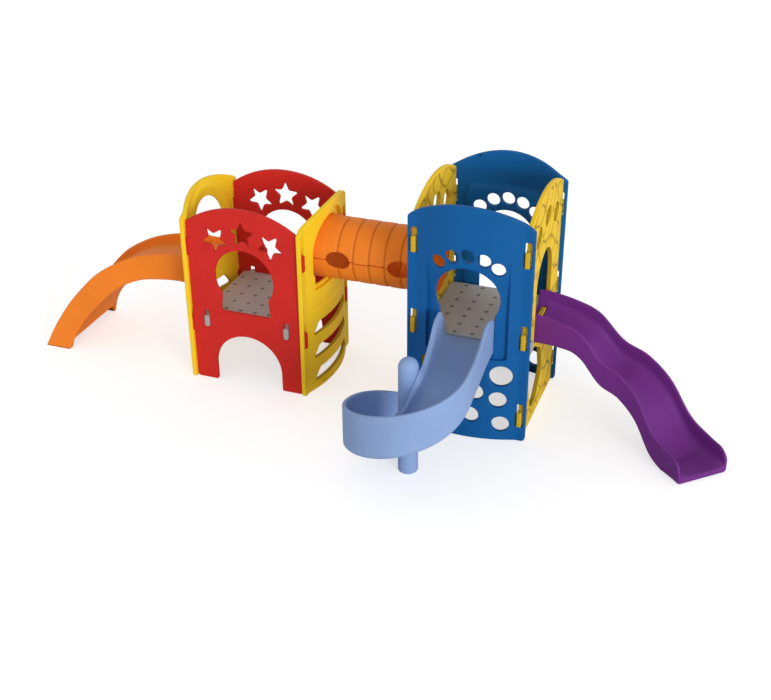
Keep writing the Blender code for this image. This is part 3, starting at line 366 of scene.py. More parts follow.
def mould(place, outline, holes, thickness=panels.thickness, edge=panels.edgeRadius,
          holeEdge=panels.holeEdge, spacing=None, recess=None, relief=0.0, backRelief=None):
    # both faces, the rounded outer edge and a rounded edge round each hole. A recess is a pan: its
    # outline, the holes in its floor and the settings of its panel
    rim = [offsetLoop(outline, -edge)] + [offsetLoop(hole, holeEdge) for hole in holes]
    patches = [strip(outline, roundedEdge(edge, 0, thickness), place, -1.0)]
    patches += [strip(hole, roundedEdge(holeEdge, 0, thickness), place) for hole in holes]
    if not recess:
        flat = net(rim, spacing)
        back = (lambda u, z: thickness - backRelief(u, z)) if backRelief else thickness
        return patches + [sheet(flat, relief, place), sheet(flat, back, place)]
    loop, floorHoles, s = recess
    depth, turn, far = s.recessDepth, s.recessRound, s.recessDepth + s.recessWall
    angle = np.linspace(0, np.pi / 2, 5)
    sine, cosine = np.sin(angle), np.cos(angle)
    into = np.vstack([np.column_stack([turn * (1 - sine), turn * (1 - cosine)]),
                      np.column_stack([-turn * (1 - cosine), depth - turn * (1 - sine)])])
    patches.append(strip(loop, into, place))
    patches += [strip(hole, roundedEdge(holeEdge, depth, far), place) for hole in floorHoles]
    inner = [offsetLoop(hole, holeEdge) for hole in floorHoles]
    patches.append(sheet(net(rim + [offsetLoop(loop, turn)], spacing), relief, place))
    patches.append(sheet(net([offsetLoop(loop, -turn)] + inner, spacing), depth, place))

    def behind(u, z):
        # the pan's back stands out of the panel's back, and falls off in a soft slope round it
        flat = np.column_stack([u, z])
        away = np.where(insideLoops(flat, [loop]), 0, nearestEdge(flat, [loop]))
        slope = np.clip((away - s.lap) / s.slope, 0, 1)
        level = far - (far - thickness) * (0.5 - 0.5 * np.cos(np.pi * slope))
        edges = np.clip(nearestEdge(flat, rim) / panels.panFade, 0, 1)
        return thickness + (level - thickness) * edges
    patches.append(sheet(net(rim + inner, spacing), behind, place))
    return patches


def bowAt(u):
    # how far a bowed panel stands out at u: an arc between its flat flanges, with a soft start
    depth, blend = panels.bowDepth, panels.bowBlend
    radius = (depth ** 2 + (panels.half - panels.flange) ** 2) / (2 * depth)
    rise = np.sqrt(np.maximum(radius ** 2 - u ** 2, 0)) - (radius - depth)
    rise = 0.5 * (rise + np.sqrt(rise ** 2 + blend ** 2)) - 0.5 * blend
    return np.where(np.abs(u) < panels.half + 0.1, np.maximum(rise, 0), 0)


def standPanel(tower, quarter, bowed):
    # places (u, z, depth) on one side of a tower: quarter 0 is the front, 1 the right
    outward = np.array([math.sin(quarter * math.pi / 2), -math.cos(quarter * math.pi / 2), 0])
    right = np.array([-outward[1], outward[0], 0])
    distance = panels.bowedFace if bowed else panels.flatFace

    def place(u, z, depth):
        out = distance - depth + (bowAt(u) if bowed else 0)
        flat = tower * (1, 1, 0) + outward * out[:, None] + right * u[:, None]
        return flat + z[:, None] * (0, 0, 1)
    return place


def alongPanel(points, tower, quarter):
    # how far along a right (1) or left (3) panel the points lie
    return (points[:, 1] - tower[1]) * (1 if quarter == 1 else -1)


def pairedLoops(line, half, ranges, radius):
    # upright slots on both sides of the middle, one for each range of heights
    return [rectangleLoop(side * line - half, side * line + half, low, high, radius)
            for side in (-1, 1) for low, high in ranges]


def slotLoops(bottoms, height):
    # the slots for the neighbouring panels' tabs
    return pairedLoops(panels.tabLine, panels.slotWidth / 2,
                       [(low, low + height) for low in bottoms], panels.slotRound)


def deckSlotLoops(top):
    # the slots for the deck's tabs, given the deck's top
    return pairedLoops(panels.deckTabLine, panels.deckSlotHalf,
                       [(top - panels.deckSlotBelow, top + panels.deckSlotAbove)],
                       panels.deckSlotRound)


# finishes

def wire(tree, made, inputs=(), **values):
    # gives a node's options and sockets their values, and links those that come from another node;
    # inputs fill the sockets by number
    for key, value in [*values.items(), *enumerate(inputs)]:
        socket = key.replace("_", " ") if isinstance(key, str) else key
        if isinstance(value, bpy.types.NodeSocket):
            tree.links.new(value, made.inputs[socket])
        elif isinstance(key, str) and hasattr(made, key):
            setattr(made, key, value)
        else:
            made.inputs[socket].default_value = value
    return made


def node(tree, kind, inputs=(), **values):
    # a new node, filled in the same way
    return wire(tree, tree.nodes.new(kind), inputs, **values)


def linear(colour):
    # sRGB from 0 to 255 as linear light
    colour = np.asarray(colour, float) / 255
    return np.where(colour < 0.04045, colour / 12.92, ((colour + 0.055) / 1.055) ** 2.4)


def blankMaterial(name):
    # a material with its node tree and shader
    material = bpy.data.materials.new(name)
    material.use_nodes = True
    return material, material.node_tree, material.node_tree.nodes["Principled BSDF"]


def mouldedPlastic(name, settings):
    # matt rotomoulded polyethylene: cloudy tint, fine orange peel, scuffs that are a little
    # rougher, and painted shade where the piece's shade attribute is set
    s = SimpleNamespace(**settings)
    material, tree, shader = blankMaterial(name)
    place = node(tree, "ShaderNodeTexCoord").outputs["Object"]

    def noise(scale, detail, **values):
        return node(tree, "ShaderNodeTexNoise", Vector=place, Scale=scale, Detail=detail,
                    **values).outputs

    def remap(value, low, high, toLow, toHigh):
        return node(tree, "ShaderNodeMapRange", Value=value, From_Min=low, From_Max=high,
                    To_Min=toLow, To_Max=toHigh).outputs["Result"]

    def combine(first, second, operation="MULTIPLY"):
        return node(tree, "ShaderNodeVectorMath", (first, second),
                    operation=operation).outputs["Vector"]

    base = linear(s.colour)
    clouds = noise(s.cloudScale, 4.0, Roughness=0.55)["Fac"]
    tint = node(tree, "ShaderNodeValToRGB", Fac=clouds)
    for stop, at, share in zip(tint.color_ramp.elements, (0.3, 0.7), (1 - s.cloud, 1 + s.cloud)):
        stop.position = at
        stop.color = (*np.minimum(base * share, 1), 1)
    speck = remap(noise(s.speckScale, 2.0)["Fac"], 0.35, 0.65, 0.96, 1.03)
    mixed = combine(tint.outputs["Color"], speck)
    if s.crackle:
        bent = combine(place, noise(s.bendScale, 3.0)["Color"], "ADD")
        veins = node(tree, "ShaderNodeTexVoronoi", Vector=bent, feature="DISTANCE_TO_EDGE",
                     Scale=s.veinScale)
        mixed = combine(mixed, remap(veins.outputs["Distance"], 0.0, s.veinWidth, s.crackle, 1.0))
    # painted shade: the shade attribute darkens the colour on hole walls, grooves, dents and tab
    # ends
    if s.groove:
        shade = node(tree, "ShaderNodeAttribute", attribute_name="shade").outputs["Fac"]
        mixed = combine(mixed, remap(shade, 0.0, 1.0, 1.0, s.groove))
    scuff = noise(s.scuffScale, 5.0, Roughness=0.7)["Fac"]
    rough = remap(scuff, 0.3, 0.75, s.roughness - 0.06, s.roughness + 0.08)
    bump = node(tree, "ShaderNodeBump", Height=noise(s.peelScale, 2.0)["Fac"], Strength=0.25,
                Distance=s.peel)
    wire(tree, shader, Base_Color=mixed, Roughness=rough, Normal=bump.outputs["Normal"],
         Specular_IOR_Level=s.sheen)
    return material


plainPlastic = {
    "cloud": 0.05, "cloudScale": 2.4, "speckScale": 160.0,  # paler and darker tints
    "roughness": 0.5, "scuffScale": 14.0, "sheen": 0.16,
    "peel": 0.0008, "peelScale": 420.0,  # the orange peel's depth and scale
    "crackle": None, "veinScale": 4.5, "veinWidth": 0.022, "bendScale": 6.0,
    "groove": None,  # how dark the painted shade from the shade attribute gets
}
plastics = {
    "red": {"colour": (214, 44, 38), "crackle": 0.82},
    "yellow": {"colour": (252, 212, 42), "cloud": 0.04, "groove": 0.6},
    "blue": {"colour": (15, 95, 161), "cloud": 0.06},
    "gold": {"colour": (250, 206, 48), "roughness": 0.52, "groove": 0.42},
    "orange": {"colour": (246, 134, 40), "groove": 0.6},
    "purple": {"colour": (116, 48, 136), "roughness": 0.42, "peel": 0.0006},
    "light blue": {"colour": (144, 171, 217), "cloud": 0.04},
    "deck": {"colour": (193, 191, 191), "cloud": 0.07, "roughness": 0.6, "peel": 0.001,
             "sheen": 0.2, "groove": 0.35},
}
finishes = {name: mouldedPlastic(name + " plastic", {**plainPlastic, **values})
            for name, values in plastics.items()}

steel = {
    "dark": (0.42, 0.42, 0.43, 1), "light": (0.66, 0.66, 0.65, 1), "streakScale": 300.0,
    "streakDepth": 0.0003, "roughness": 0.38,
}


def brushedSteel():
    # zinc-plated steel with fine turned streaks
    s = SimpleNamespace(**steel)
    material, tree, shader = blankMaterial("zinc plated steel")
    place = node(tree, "ShaderNodeTexCoord").outputs["Object"]
    streak = node(tree, "ShaderNodeTexNoise", Vector=place, Scale=s.streakScale,
                  Detail=3.0).outputs["Fac"]
    tone = node(tree, "ShaderNodeValToRGB", Fac=streak)
    tone.color_ramp.elements[0].color = s.dark
    tone.color_ramp.elements[1].color = s.light
    bump = node(tree, "ShaderNodeBump", Height=streak, Strength=0.2, Distance=s.streakDepth)
    wire(tree, shader, Base_Color=tone.outputs["Color"], Normal=bump.outputs["Normal"],
         Metallic=1.0, Roughness=s.roughness)
    return material


steelFinish = brushedSteel()
for name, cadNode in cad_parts.items():
    if "bolt" in name or "screw" in name or "washer" in name:
        cadNode.data.materials.clear()
        cadNode.data.materials.append(steelFinish)
print("finishes ready")


def buildPanel(name, finish, stand, s, holes, shade=None, **options):
    # one panel: its outline and holes moulded where it stands; options go to the mould
    patches = mould(stand, panelOutline(s), holes, **options)
    buildMesh(name, patches, finish, [name + "_panel"], shade)


# red panels

redPanel = {
    "peak": 1.635, "rise": 0.168,
    "tabBottoms": (0.455, 1.163), "tabHeight": 0.145, "tabReach": 0.049,
    "starTip": 0.129, "starWaist": 0.057, "starTipRound": 0.009, "starWaistRound": 0.02,
    "starSpacing": 0.004,
    "stars": ((-0.247, 1.337, -90), (0.0, 1.41, 90), (0.247, 1.337, -90)),
    "windowHeight": 1.003, "windowRadius": 0.267, "windowNeck": 0.214, "sillHalf": 0.231,
    "sill": 0.683, "cusp": 0.03,
    "crawlHalf": 0.305, "crawlTop": 0.468,
    "deckTop": 0.62,
}


def buildRedPanel(name, quarter):
    # a flat panel with three stars and a keyhole window over a crawl arch
    s = SimpleNamespace(**redPanel)
    holes = [starLoop(u, z, turn, s) for u, z, turn in s.stars]
    holes.append(keyholeLoop(s.windowHeight, s.windowRadius, s.windowNeck, s.sillHalf, s.sill,
                             s.cusp))
    holes += deckSlotLoops(s.deckTop)
    buildPanel(name, "red", standPanel(lowTower, quarter, False), s, holes)


buildRedPanel("red_front", 0)
buildRedPanel("red_back", 2)
print("red panels done")


# yellow panels

yellowPanel = {
    "peak": 1.625, "rise": 0.13,
    "slotBottoms": (0.455, 1.163), "slotHeight": 0.215,
    "axis": 1.213, "recessRadius": 0.34, "recessNeck": 0.30, "recessDepth": 0.034,
    "recessWall": 0.026, "recessRound": 0.007, "recessLip": 0.022, "recessCusp": 0.05,
    "lap": 0.004, "slope": 0.06,
    "dentFoot": 0.752, "dentLift": 0.07, "dentHalf": 0.33, "dentDepth": 0.02, "dentFade": 0.05,
    "entryHalf": 0.27, "sill": 0.9525,
    "rungHalf": 0.332, "rungTopHalf": 0.27, "rungHeight": 0.108, "rungEdge": 0.02,
    "rungFoot": 0.012, "rungSide": 0.02, "rungTop": 0.05,
    "rungBottoms": (0.083, 0.303, 0.525),
}


def rungLoop(low, s):
    # a wide slot with a flat foot and a top that narrows in two slants
    high, edge = low + s.rungHeight, low + s.rungEdge
    corners = [(-s.rungHalf, low), (s.rungHalf, low), (s.rungHalf, edge),
               (s.rungTopHalf, high), (-s.rungTopHalf, high), (-s.rungHalf, edge)]
    rounds = (s.rungFoot, s.rungFoot, s.rungSide, s.rungTop, s.rungTop, s.rungSide)
    return softLoop(corners, rounds, panels.circleSpacing)


def buildYellowPanel(name, quarter):
    # a bowed panel with climbing slots under a doorway in a keyhole pan
    s = SimpleNamespace(**yellowPanel)
    rungs = [rungLoop(low, s) for low in s.rungBottoms]
    entry = archLoop(s.entryHalf, s.axis + s.entryHalf, s.sill)
    pan = keyholeLoop(s.axis, s.recessRadius, s.recessNeck, s.recessNeck, s.sill - s.recessLip,
                      s.recessCusp)

    def dent(u, z):
        # a dished crescent under the tunnel: deepest just over its lower edge, fading upwards
        over = z - s.dentFoot - s.dentLift * np.clip((np.abs(u) - 0.15) / 0.17, 0, 1) ** 2
        fade = np.clip(1.06 - (u / s.dentHalf) ** 6, 0, 1) * np.clip(over / 0.006, 0, 1)
        return s.dentDepth * fade * np.exp(-np.maximum(over, 0) / s.dentFade)

    # painted shade on the walls of the rung slots
    def shade(points):
        return shadeOnOpeningWalls(alongPanel(points, lowTower, quarter), points[:, 2], rungs)
    holes = rungs + slotLoops(s.slotBottoms, s.slotHeight)
    buildPanel(name, "yellow", standPanel(lowTower, quarter, True), s, holes, shade,
               spacing=(0.016, 0.008), recess=(pan, [entry], s), relief=dent)


buildYellowPanel("yellow_right", 1)
buildYellowPanel("yellow_left", 3)
print("yellow panels done")


# blue panels

bluePanel = {
    "peak": 2.003, "rise": 0.165,
    "slotBottoms": (0.135, 0.837, 1.538), "slotHeight": 0.207,
    "windowHeight": 1.235, "windowRadius": 0.258, "neck": 0.2183, "sill": 0.7545,
    "recessHalf": 0.33, "recessBottom": 0.735, "recessTop": 1.665, "recessDepth": 0.034,
    "recessWall": 0.026, "recessRound": 0.005, "recessCorner": 0.03, "fadeFrom": 1.1,
    "lap": 0.01, "slope": 0.03,
    "dotRadius": 0.056, "dotRing": 0.362, "dotStep": 20.3,
    "climbHoles": ((0.291, 0.592, 0.091), (0.273, 0.374, 0.071), (0.301, 0.15, 0.070),
                   (0.091, 0.431, 0.071)),
    "climbMiddle": (0.060, 0.217, 0.070),
}


def buildBluePanel(name, quarter):
    # a bowed panel with a window and a ring of holes in a pan, and climbing holes under it
    s = SimpleNamespace(**bluePanel)
    holes = [circleLoop(side * u, z, r) for u, z, r in s.climbHoles for side in (-1, 1)]
    holes += [circleLoop(*s.climbMiddle)] + slotLoops(s.slotBottoms, s.slotHeight)
    window = keyholeLoop(s.windowHeight, s.windowRadius, s.neck, s.neck, s.sill, 0.03, 0.004)
    turns = [math.radians(step * s.dotStep) for step in range(-2, 3)]
    dots = [circleLoop(s.dotRing * math.sin(turn), s.windowHeight + s.dotRing * math.cos(turn),
                       s.dotRadius) for turn in turns]
    pan = rectangleLoop(-s.recessHalf, s.recessHalf, s.recessBottom, s.recessTop,
                        s.recessCorner)
    stand = standPanel(tallTower, quarter, True)

    def place(u, z, depth):
        # the pan gets shallower towards its top, where it runs out into the panel's face
        fade = np.clip((z - s.fadeFrom) / (s.recessTop - 0.02 - s.fadeFrom), 0, 1)
        fade = s.recessDepth * fade ** 2 * (3 - 2 * fade)
        inPan = (np.abs(u) < s.recessHalf + 0.02) & (z < s.recessTop + 0.02)
        far = s.recessDepth + s.recessWall
        back = np.clip((far - depth) / (far - s.recessDepth), 0, 1)
        front = np.minimum(depth, s.recessDepth) / s.recessDepth
        return stand(u, z, depth - inPan * fade * np.where(depth > s.recessDepth, back, front))
    buildPanel(name, "blue", place, s, holes, spacing=(0.02, 0.02),
               recess=(pan, [window] + dots, s))


buildBluePanel("blue_front", 0)
buildBluePanel("blue_back", 2)
print("blue panels done")


# gold panels

goldPanel = {
    "peak": 1.985, "rise": 0.13,
    "tabBottoms": (0.135, 0.837, 1.538), "tabHeight": 0.135, "tabReach": 0.056,
    "doorHalf": 0.25, "doorSpring": 1.20, "doorApex": 1.462, "doorSill": 0.7375,
    "sillTabHalf": 0.15, "sillTabTop": 0.885,
    "tunnelAxis": 1.213, "tunnelDoor": 0.2665,
    "leaves": (((-0.245, 1.765), (-0.345, 1.655), (-0.315, 1.58), (-0.24, 1.598), (-0.16, 1.655),
                (-0.19, 1.725)),
               ((0.09, 1.815), (-0.065, 1.81), (-0.08, 1.73), (-0.045, 1.66), (0.03, 1.685),
                (0.10, 1.72)),
               ((0.28, 1.76), (0.225, 1.705), (0.19, 1.633), (0.31, 1.575), (0.365, 1.63),
                (0.40, 1.695))),
    "rootHole": ((-0.395, 0.70), (-0.35, 0.42), (-0.25, 0.13), (-0.08, 0.14), (0.10, 0.33),
                 (0.03, 0.56), (-0.20, 0.70)),
    "leafRound": 0.045, "rootRound": 0.12,
    "deckTop": 0.83,
    "cellWidth": 0.30, "cellHeight": 0.21, "lineHalf": 0.0085, "barkDepth": 0.005,
    # how dark the painted shade gets on the openings' walls and on the tab ends
    "cutShade": 0.78, "tabShade": 0.5,
}


def barkLines(u, z, s):
    # 1 on the lines of a warped lattice of pointed cells, 0 away from them: the lattice is where
    # two waves cancel, and their sum over its slope is the distance to the line
    bend = 0.035 * np.sin(3.1 * z + 4.0 * u + 0.5) + 0.022 * np.sin(9.3 * z - 5.0 * u)
    lift = 0.06 * np.sin(6.2 * u + 1.7 * z) + 0.03 * np.sin(14.0 * u - 3.1 * z + 1.0)
    a = 2 * np.pi * (u + bend) / s.cellWidth
    b = 2 * np.pi * (z + lift) / s.cellHeight
    value = np.cos(a) + (0.95 + 0.2 * np.sin(5.3 * z + 7.1 * u)) * np.cos(b)
    slope = np.hypot(2 * np.pi / s.cellWidth * np.sin(a), 2 * np.pi / s.cellHeight * np.sin(b))
    return np.exp(-(value / (slope + 9.0) / s.lineHalf) ** 2)


def buildGoldPanel(name, quarter, tunnelSide):
    # a flat panel with bark lines, leaf openings, one low opening and a doorway
    s = SimpleNamespace(**goldPanel)
    outline = panelOutline(s)
    if tunnelSide:
        door = circleLoop(0.0, s.tunnelAxis, s.tunnelDoor)
    else:
        door = pointedArchLoop(s.doorHalf, s.doorSpring, s.doorApex, s.doorSill, s.sillTabHalf,
                               s.sillTabTop)
    holes = [door, *(softLoop(leaf, s.leafRound, panels.circleSpacing) for leaf in s.leaves),
             softLoop(s.rootHole, s.rootRound, panels.arcSpacing), *deckSlotLoops(s.deckTop)]

    def bark(u, z):
        # the lines as shallow grooves that end before the edges and the flat tabs
        away = nearestEdge(np.column_stack([u, z]), [outline] + holes)
        return barkLines(u, z, s) * np.clip((away - 0.014) / 0.012, 0, 1)

    # painted shade in the bark grooves, on the openings' walls and on the tab ends
    def shade(points):
        along = alongPanel(points, tallTower, quarter)
        cut = np.maximum(s.cutShade * shadeOnOpeningWalls(along, points[:, 2], holes),
                         s.tabShade * (np.abs(along) > panels.half + 0.01))
        return np.maximum(bark(along, points[:, 2]), cut)

    def groove(u, z):
        return s.barkDepth * bark(u, z)
    buildPanel(name, "gold", standPanel(tallTower, quarter, False), s, holes, shade,
               spacing=(0.0075, 0.009), relief=groove, backRelief=groove)


buildGoldPanel("gold_right", 1, False)
buildGoldPanel("gold_left", 3, True)
print("gold panels done")


# decks

deck = {
    "across": 0.4297, "along": 0.443, "reach": 0.486, "tabHalf": 0.0225,
    "thickness": 0.10, "edge": 0.011, "cornerRound": 0.02, "tabRound": 0.012,
    "pitchAcross": 0.1475, "pitchAlong": 0.1335, "dimpleRadius": 0.021, "dimpleDepth": 0.011,
    # how dark the painted shade gets on the tab ends
    "tabShade": 0.35,
}


def buildDeck(name, tower, top, turned):
    # a square plate with round dents and two tabs on each of two sides
    s = SimpleNamespace(**deck)
    right = [(s.across, -s.along, s.cornerRound)]
    for line in (-panels.deckTabLine, panels.deckTabLine):
        right += tabCorners(s.across, s.reach, line - s.tabHalf, line + s.tabHalf, s.tabRound)
    right.append((s.across, s.along, s.cornerRound))
    corners = np.array(right + [(-x, y, r) for x, y, r in reversed(right)])
    outline = softLoop(corners[:, :2], corners[:, 2], panels.arcSpacing)

    def place(u, v, depth):
        x, y = (-v, u) if turned else (u, v)
        return np.column_stack([tower[0] + x, tower[1] + y, top - depth])

    def dimples(u, v):
        # round dents on a regular grid
        i, j = u / s.pitchAcross, v / s.pitchAlong
        away = np.hypot((i - np.round(i)) * s.pitchAcross, (j - np.round(j)) * s.pitchAlong)
        away = np.where((np.abs(np.round(i)) > 2) | (np.abs(np.round(j)) > 3), 1, away)
        sink = np.clip((1 - away / s.dimpleRadius) / 0.45, 0, 1)
        return 3 * sink ** 2 - 2 * sink ** 3

    # painted shade in the dents on the top and on the tab ends
    def shade(points):
        x, y = points[:, 0] - tower[0], points[:, 1] - tower[1]
        u, v = (y, -x) if turned else (x, y)
        dents = dimples(u, v) * (points[:, 2] > top - s.thickness / 2)
        return np.maximum(dents, s.tabShade * (np.abs(u) > s.across + 0.01))
    patches = mould(place, outline, [], s.thickness, s.edge, spacing=(0.006, 0.006),
                    relief=lambda u, v: s.dimpleDepth * dimples(u, v))
    buildMesh(name, patches, "deck", [name], shade)


buildDeck("low_platform", lowTower, redPanel["deckTop"], True)
buildDeck("high_platform", tallTower, goldPanel["deckTop"], False)
print("decks done")


# crawl tunnel

tunnel = {
    "radius": 0.262, "wall": 0.016, "axis": 1.213,
    "grooves": 5, "grooveSpacing": 0.137, "grooveHalf": 0.015, "grooveDepth": 0.009,
    "ringRise": 0.002, "collar": 0.05, "collarRise": 0.004, "shift": -0.03,
    "seamStep": 0.012, "seamGap": 0.003,
    "handHalfLength": 0.105, "handHalfHeight": 0.0775, "handSpacing": 0.535,
    "edge": 0.004,
}


def buildTunnelHalf(name, side):
    # half a tube, unrolled as (along, round) and wrapped on its radius; its seam steps up and down
    # between the grooves, with half an ellipse out of it for each hand hole
    s = SimpleNamespace(**tunnel)
    low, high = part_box("tunnel_upper_half")
    start, end = low.x, high.x
    middle = (start + panels.bowDepth + end) / 2 + s.shift
    front = start + panels.bowDepth + panels.thickness
    grooves = middle + (np.arange(s.grooves) - (s.grooves - 1) / 2) * s.grooveSpacing
    quarter = s.radius * math.pi / 2
    steps = [start, *grooves, end]
    seam = []
    for i, (left, right) in enumerate(zip(steps, steps[1:])):
        level = (0.5 if i % 2 else -0.5) * s.seamStep * side + s.seamGap / 2
        seam += [(left + 1e-4, level), (right - 1e-4, level)]
    x = np.arange(start, end, 0.004)
    level = np.interp(x, *np.array(seam).T)
    for sign in (-1, 1):
        away = (x - middle - sign * s.handSpacing / 2) / s.handHalfLength
        level = np.maximum(level, s.handHalfHeight * np.sqrt(np.clip(1 - away ** 2, 0, None)))
    bottom = np.column_stack([x, -quarter + level])
    top = np.column_stack([x[::-1], quarter - level[::-1]])
    outline = evenLoop(roundCorners(np.vstack([bottom, top]), 0.01, 3), 0.006)

    def troughs(u):
        away = np.abs(u[:, None] - grooves[None, :]).min(1) / s.grooveHalf
        return np.where(away < 1, 0.5 + 0.5 * np.cos(np.pi * np.minimum(away, 1)), 0)

    def place(u, v, depth):
        # rings that swell a little between round grooves, and a collar against the yellow panel
        ring = s.ringRise * np.abs(np.sin(np.pi * (u - grooves[0]) / s.grooveSpacing))
        collar = s.collarRise * np.clip((front + s.collar - u) / 0.006, 0, 1)
        radius = s.radius - depth - s.grooveDepth * troughs(u) + np.maximum(ring, collar)
        angle = v / s.radius
        return np.column_stack([u, tallTower[1] + radius * np.sin(angle),
                                s.axis + side * radius * np.cos(angle)])
    patches = mould(place, outline, [], s.wall, s.edge, spacing=(0.0055, 0.02))
    # painted shade in the grooves between the rings
    buildMesh(name, patches, "orange", [name], lambda points: troughs(points[:, 0]) ** 2)


buildTunnelHalf("tunnel_upper_half", 1)
buildTunnelHalf("tunnel_lower_half", -1)
print("tunnel done")


# slides

def smoothCurve(values, t):
    # Catmull-Rom through points at equal steps, read at t from 0 to 1
    values = np.asarray(values, float)
    values = values.reshape(len(values), -1)
    padded = np.vstack([2 * values[0] - values[1], values, 2 * values[-1] - values[-2]])
    at = np.clip(t, 0, 1) * (len(values) - 1)
    i = np.minimum(at.astype(int), len(values) - 2)
    f = (at - i)[:, None]
    p0, p1, p2, p3 = (padded[i + k] for k in range(4))
    curve = 0.5 * (2 * p1 + (p2 - p0) * f + (2 * p0 - 5 * p1 + 4 * p2 - p3) * f ** 2
                   + (3 * p1 - p0 - 3 * p2 + p3) * f ** 3)
    return curve[:, 0] if curve.shape[1] == 1 else curve


chute = {
    "shoulderDrop": 0.05, "shoulderShare": 0.4,  # the bowl starts this far down a high or low wall
    "rimShare": 0.49, "crease": 0.0004, "bowlSteps": 18, "cornerSteps": 7,
}


def chuteSection(width, sides, bed, fullness, edge):
    # a U at each station: (across, up), left wall first. Each side has a wall of its own height and
    # thickness with a round rim. It widens to its shoulder, and a quarter of a superellipse of the
    # given power runs from there to the bed's middle
    s = SimpleNamespace(**chute)
    zero = np.zeros_like(width)
    half, bed = width / 2, bed + zero
    corners, rounds, bowls = [], [], []
    for height, wall, rim in sides:
        shoulder = np.maximum(height - s.shoulderDrop, bed + s.shoulderShare * (height - bed))
        corners.append([(-half, zero), (-half, height), (-half + rim, height),
                        (-half + wall, shoulder)])
        rounds.append([edge + zero, s.rimShare * rim, s.rimShare * rim, s.crease + zero])
        angle = np.linspace(0, np.pi / 2, s.bowlSteps)[None, 1:]
        across = -(half - wall)[:, None] * np.cos(angle) ** (2 / fullness)
        up = bed[:, None] + (shoulder - bed)[:, None] * (1 - np.sin(angle) ** (2 / fullness))
        bowls.append(np.stack([across, up], -1))
    left, right = corners
    across = np.stack([p[0] for p in left] + [-p[0] for p in reversed(right)], -1)
    up = np.stack([p[1] for p in left] + [p[1] for p in reversed(right)], -1)
    rounds = np.stack(rounds[0] + rounds[1][::-1], -1)
    outside = roundCorners(np.stack([across, up], -1), rounds, s.cornerSteps)
    otherBowl = bowls[1][:, -2::-1] * (-1, 1)
    middle = 4 * s.cornerSteps
    return np.concatenate([outside[:, :middle], bowls[0], otherBowl, outside[:, middle:]], 1)


def endInset(along, length, radius):
    # how far the skin draws in near both ends of a run, as a quarter round does
    near = np.clip(1 - np.minimum(along, length - along) / radius, 0, 1)
    return radius * (1 - np.sqrt(1 - near ** 2))


def endShare(toEnd, radius):
    # how high the walls still stand near the end, from 1 down to 0 over a quarter round
    return np.sqrt(np.clip(1 - (1 - np.clip(toEnd / radius, 0, 1)) ** 2, 0, 1))


def sweepSection(section, spot, heading, floor):
    # stands each section on its spot, square to the heading
    across = np.column_stack([-np.sin(heading), np.cos(heading)])
    flat = spot[:, None, :] - across[:, None, :] * section[..., :1]
    return closedSweep(np.concatenate([flat, floor[:, None, None] + section[..., 1:]], -1))


def closedSweep(points):
    # rows of points as one wall, and a many-sided face on each end
    rows, columns = points.shape[:2]
    caps = [(points[end], np.arange(columns)[None, :]) for end in (0, -1)]
    return [(points.reshape(-1, 3), gridFaces(rows, columns, False, True))] + caps


def slab(x, y, z, edge):
    # a flat plate with round edges between the given ranges
    loop = rectangleLoop(x[0], x[1], y[0], y[1], 0.012)
    return mould(lambda u, v, depth: np.column_stack([u, v, z[1] - depth]), loop, [],
                 z[1] - z[0], edge)


waveSlide = {
    "length": 1.608, "width": 0.451, "wallHeight": 0.214, "startExtra": 0.045, "startBed": 0.042,
    "startShare": 0.2, "wall": 0.026, "rimWidth": 0.022, "bed": 0.047, "fullness": 3.0,
    "edge": 0.03, "endRound": 0.11, "capRound": 0.011,
    "inside": 0.043, "stepAt": 0.003, "neckRows": 8, "deckTop": 0.832,
    "slotHalf": 0.158, "slotSide": 0.006, "lowestWall": 0.02,
    "rim": (0.997, 0.961, 0.89, 0.703, 0.637, 0.503, 0.277, 0.203, 0.186),
    "turn": (0.0, -0.213, -0.522, -0.826),
    "steps": 150,
}


def buildWaveSlide():
    # from inside the doorway down a wavy floor that turns to the right; the sill's tab has a slot
    s = SimpleNamespace(**waveSlide)
    face = panels.thickness
    deepest = face + s.inside
    start = np.array([tallTower[0] + panels.flatFace, tallTower[1]])
    lead = np.concatenate([np.linspace(deepest, face + s.stepAt, s.neckRows),
                           np.linspace(face, 0, 5)[:-1]])
    t = np.linspace(0, 1, s.steps + 1)
    heading = smoothCurve(s.turn, t)
    step = np.column_stack([np.cos(heading), np.sin(heading)]) * (s.length / s.steps)
    spot = start + np.vstack([[0, 0], np.cumsum(step[:-1], 0)])
    rim = smoothCurve(s.rim, t)
    fade = np.clip(1 - t / s.startShare, 0, 1)
    floor = np.maximum(rim - s.wallHeight - s.startExtra * fade, 0)
    bed = s.bed + (s.startExtra + s.startBed) * fade
    spot = np.vstack([start - np.column_stack([lead, 0 * lead]), spot])
    heading, floor, rim, bed = (np.concatenate([np.full(len(lead), v[0]), v])
                                for v in (heading, floor, rim, bed))
    bed[:s.neckRows] -= s.deckTop - floor[0]
    floor[:s.neckRows] = s.deckTop
    along = np.concatenate([deepest - lead, deepest + t * s.length])
    inset = endInset(along, along[-1], s.capRound)
    low = bed + s.lowestWall
    height = low + (rim - floor - low) * endShare(along[-1] - along, s.endRound)
    sides = [(height - 2 * inset, s.wall - 2 * inset, s.rimWidth - 1.9 * inset)] * 2
    section = chuteSection(s.width - 2 * inset, sides, bed - 2 * inset, s.fullness, s.edge)
    slot = slab((start[0] - face - s.slotSide, start[0] + s.slotSide),
                (tallTower[1] - s.slotHalf, tallTower[1] + s.slotHalf), (0.5, 1.3), 0.001)
    patches = sweepSection(section, spot, heading, floor + inset)
    buildMesh("wave_slide_chute", patches, "purple", ["wave_slide"], cutters=[slot])


buildWaveSlide()

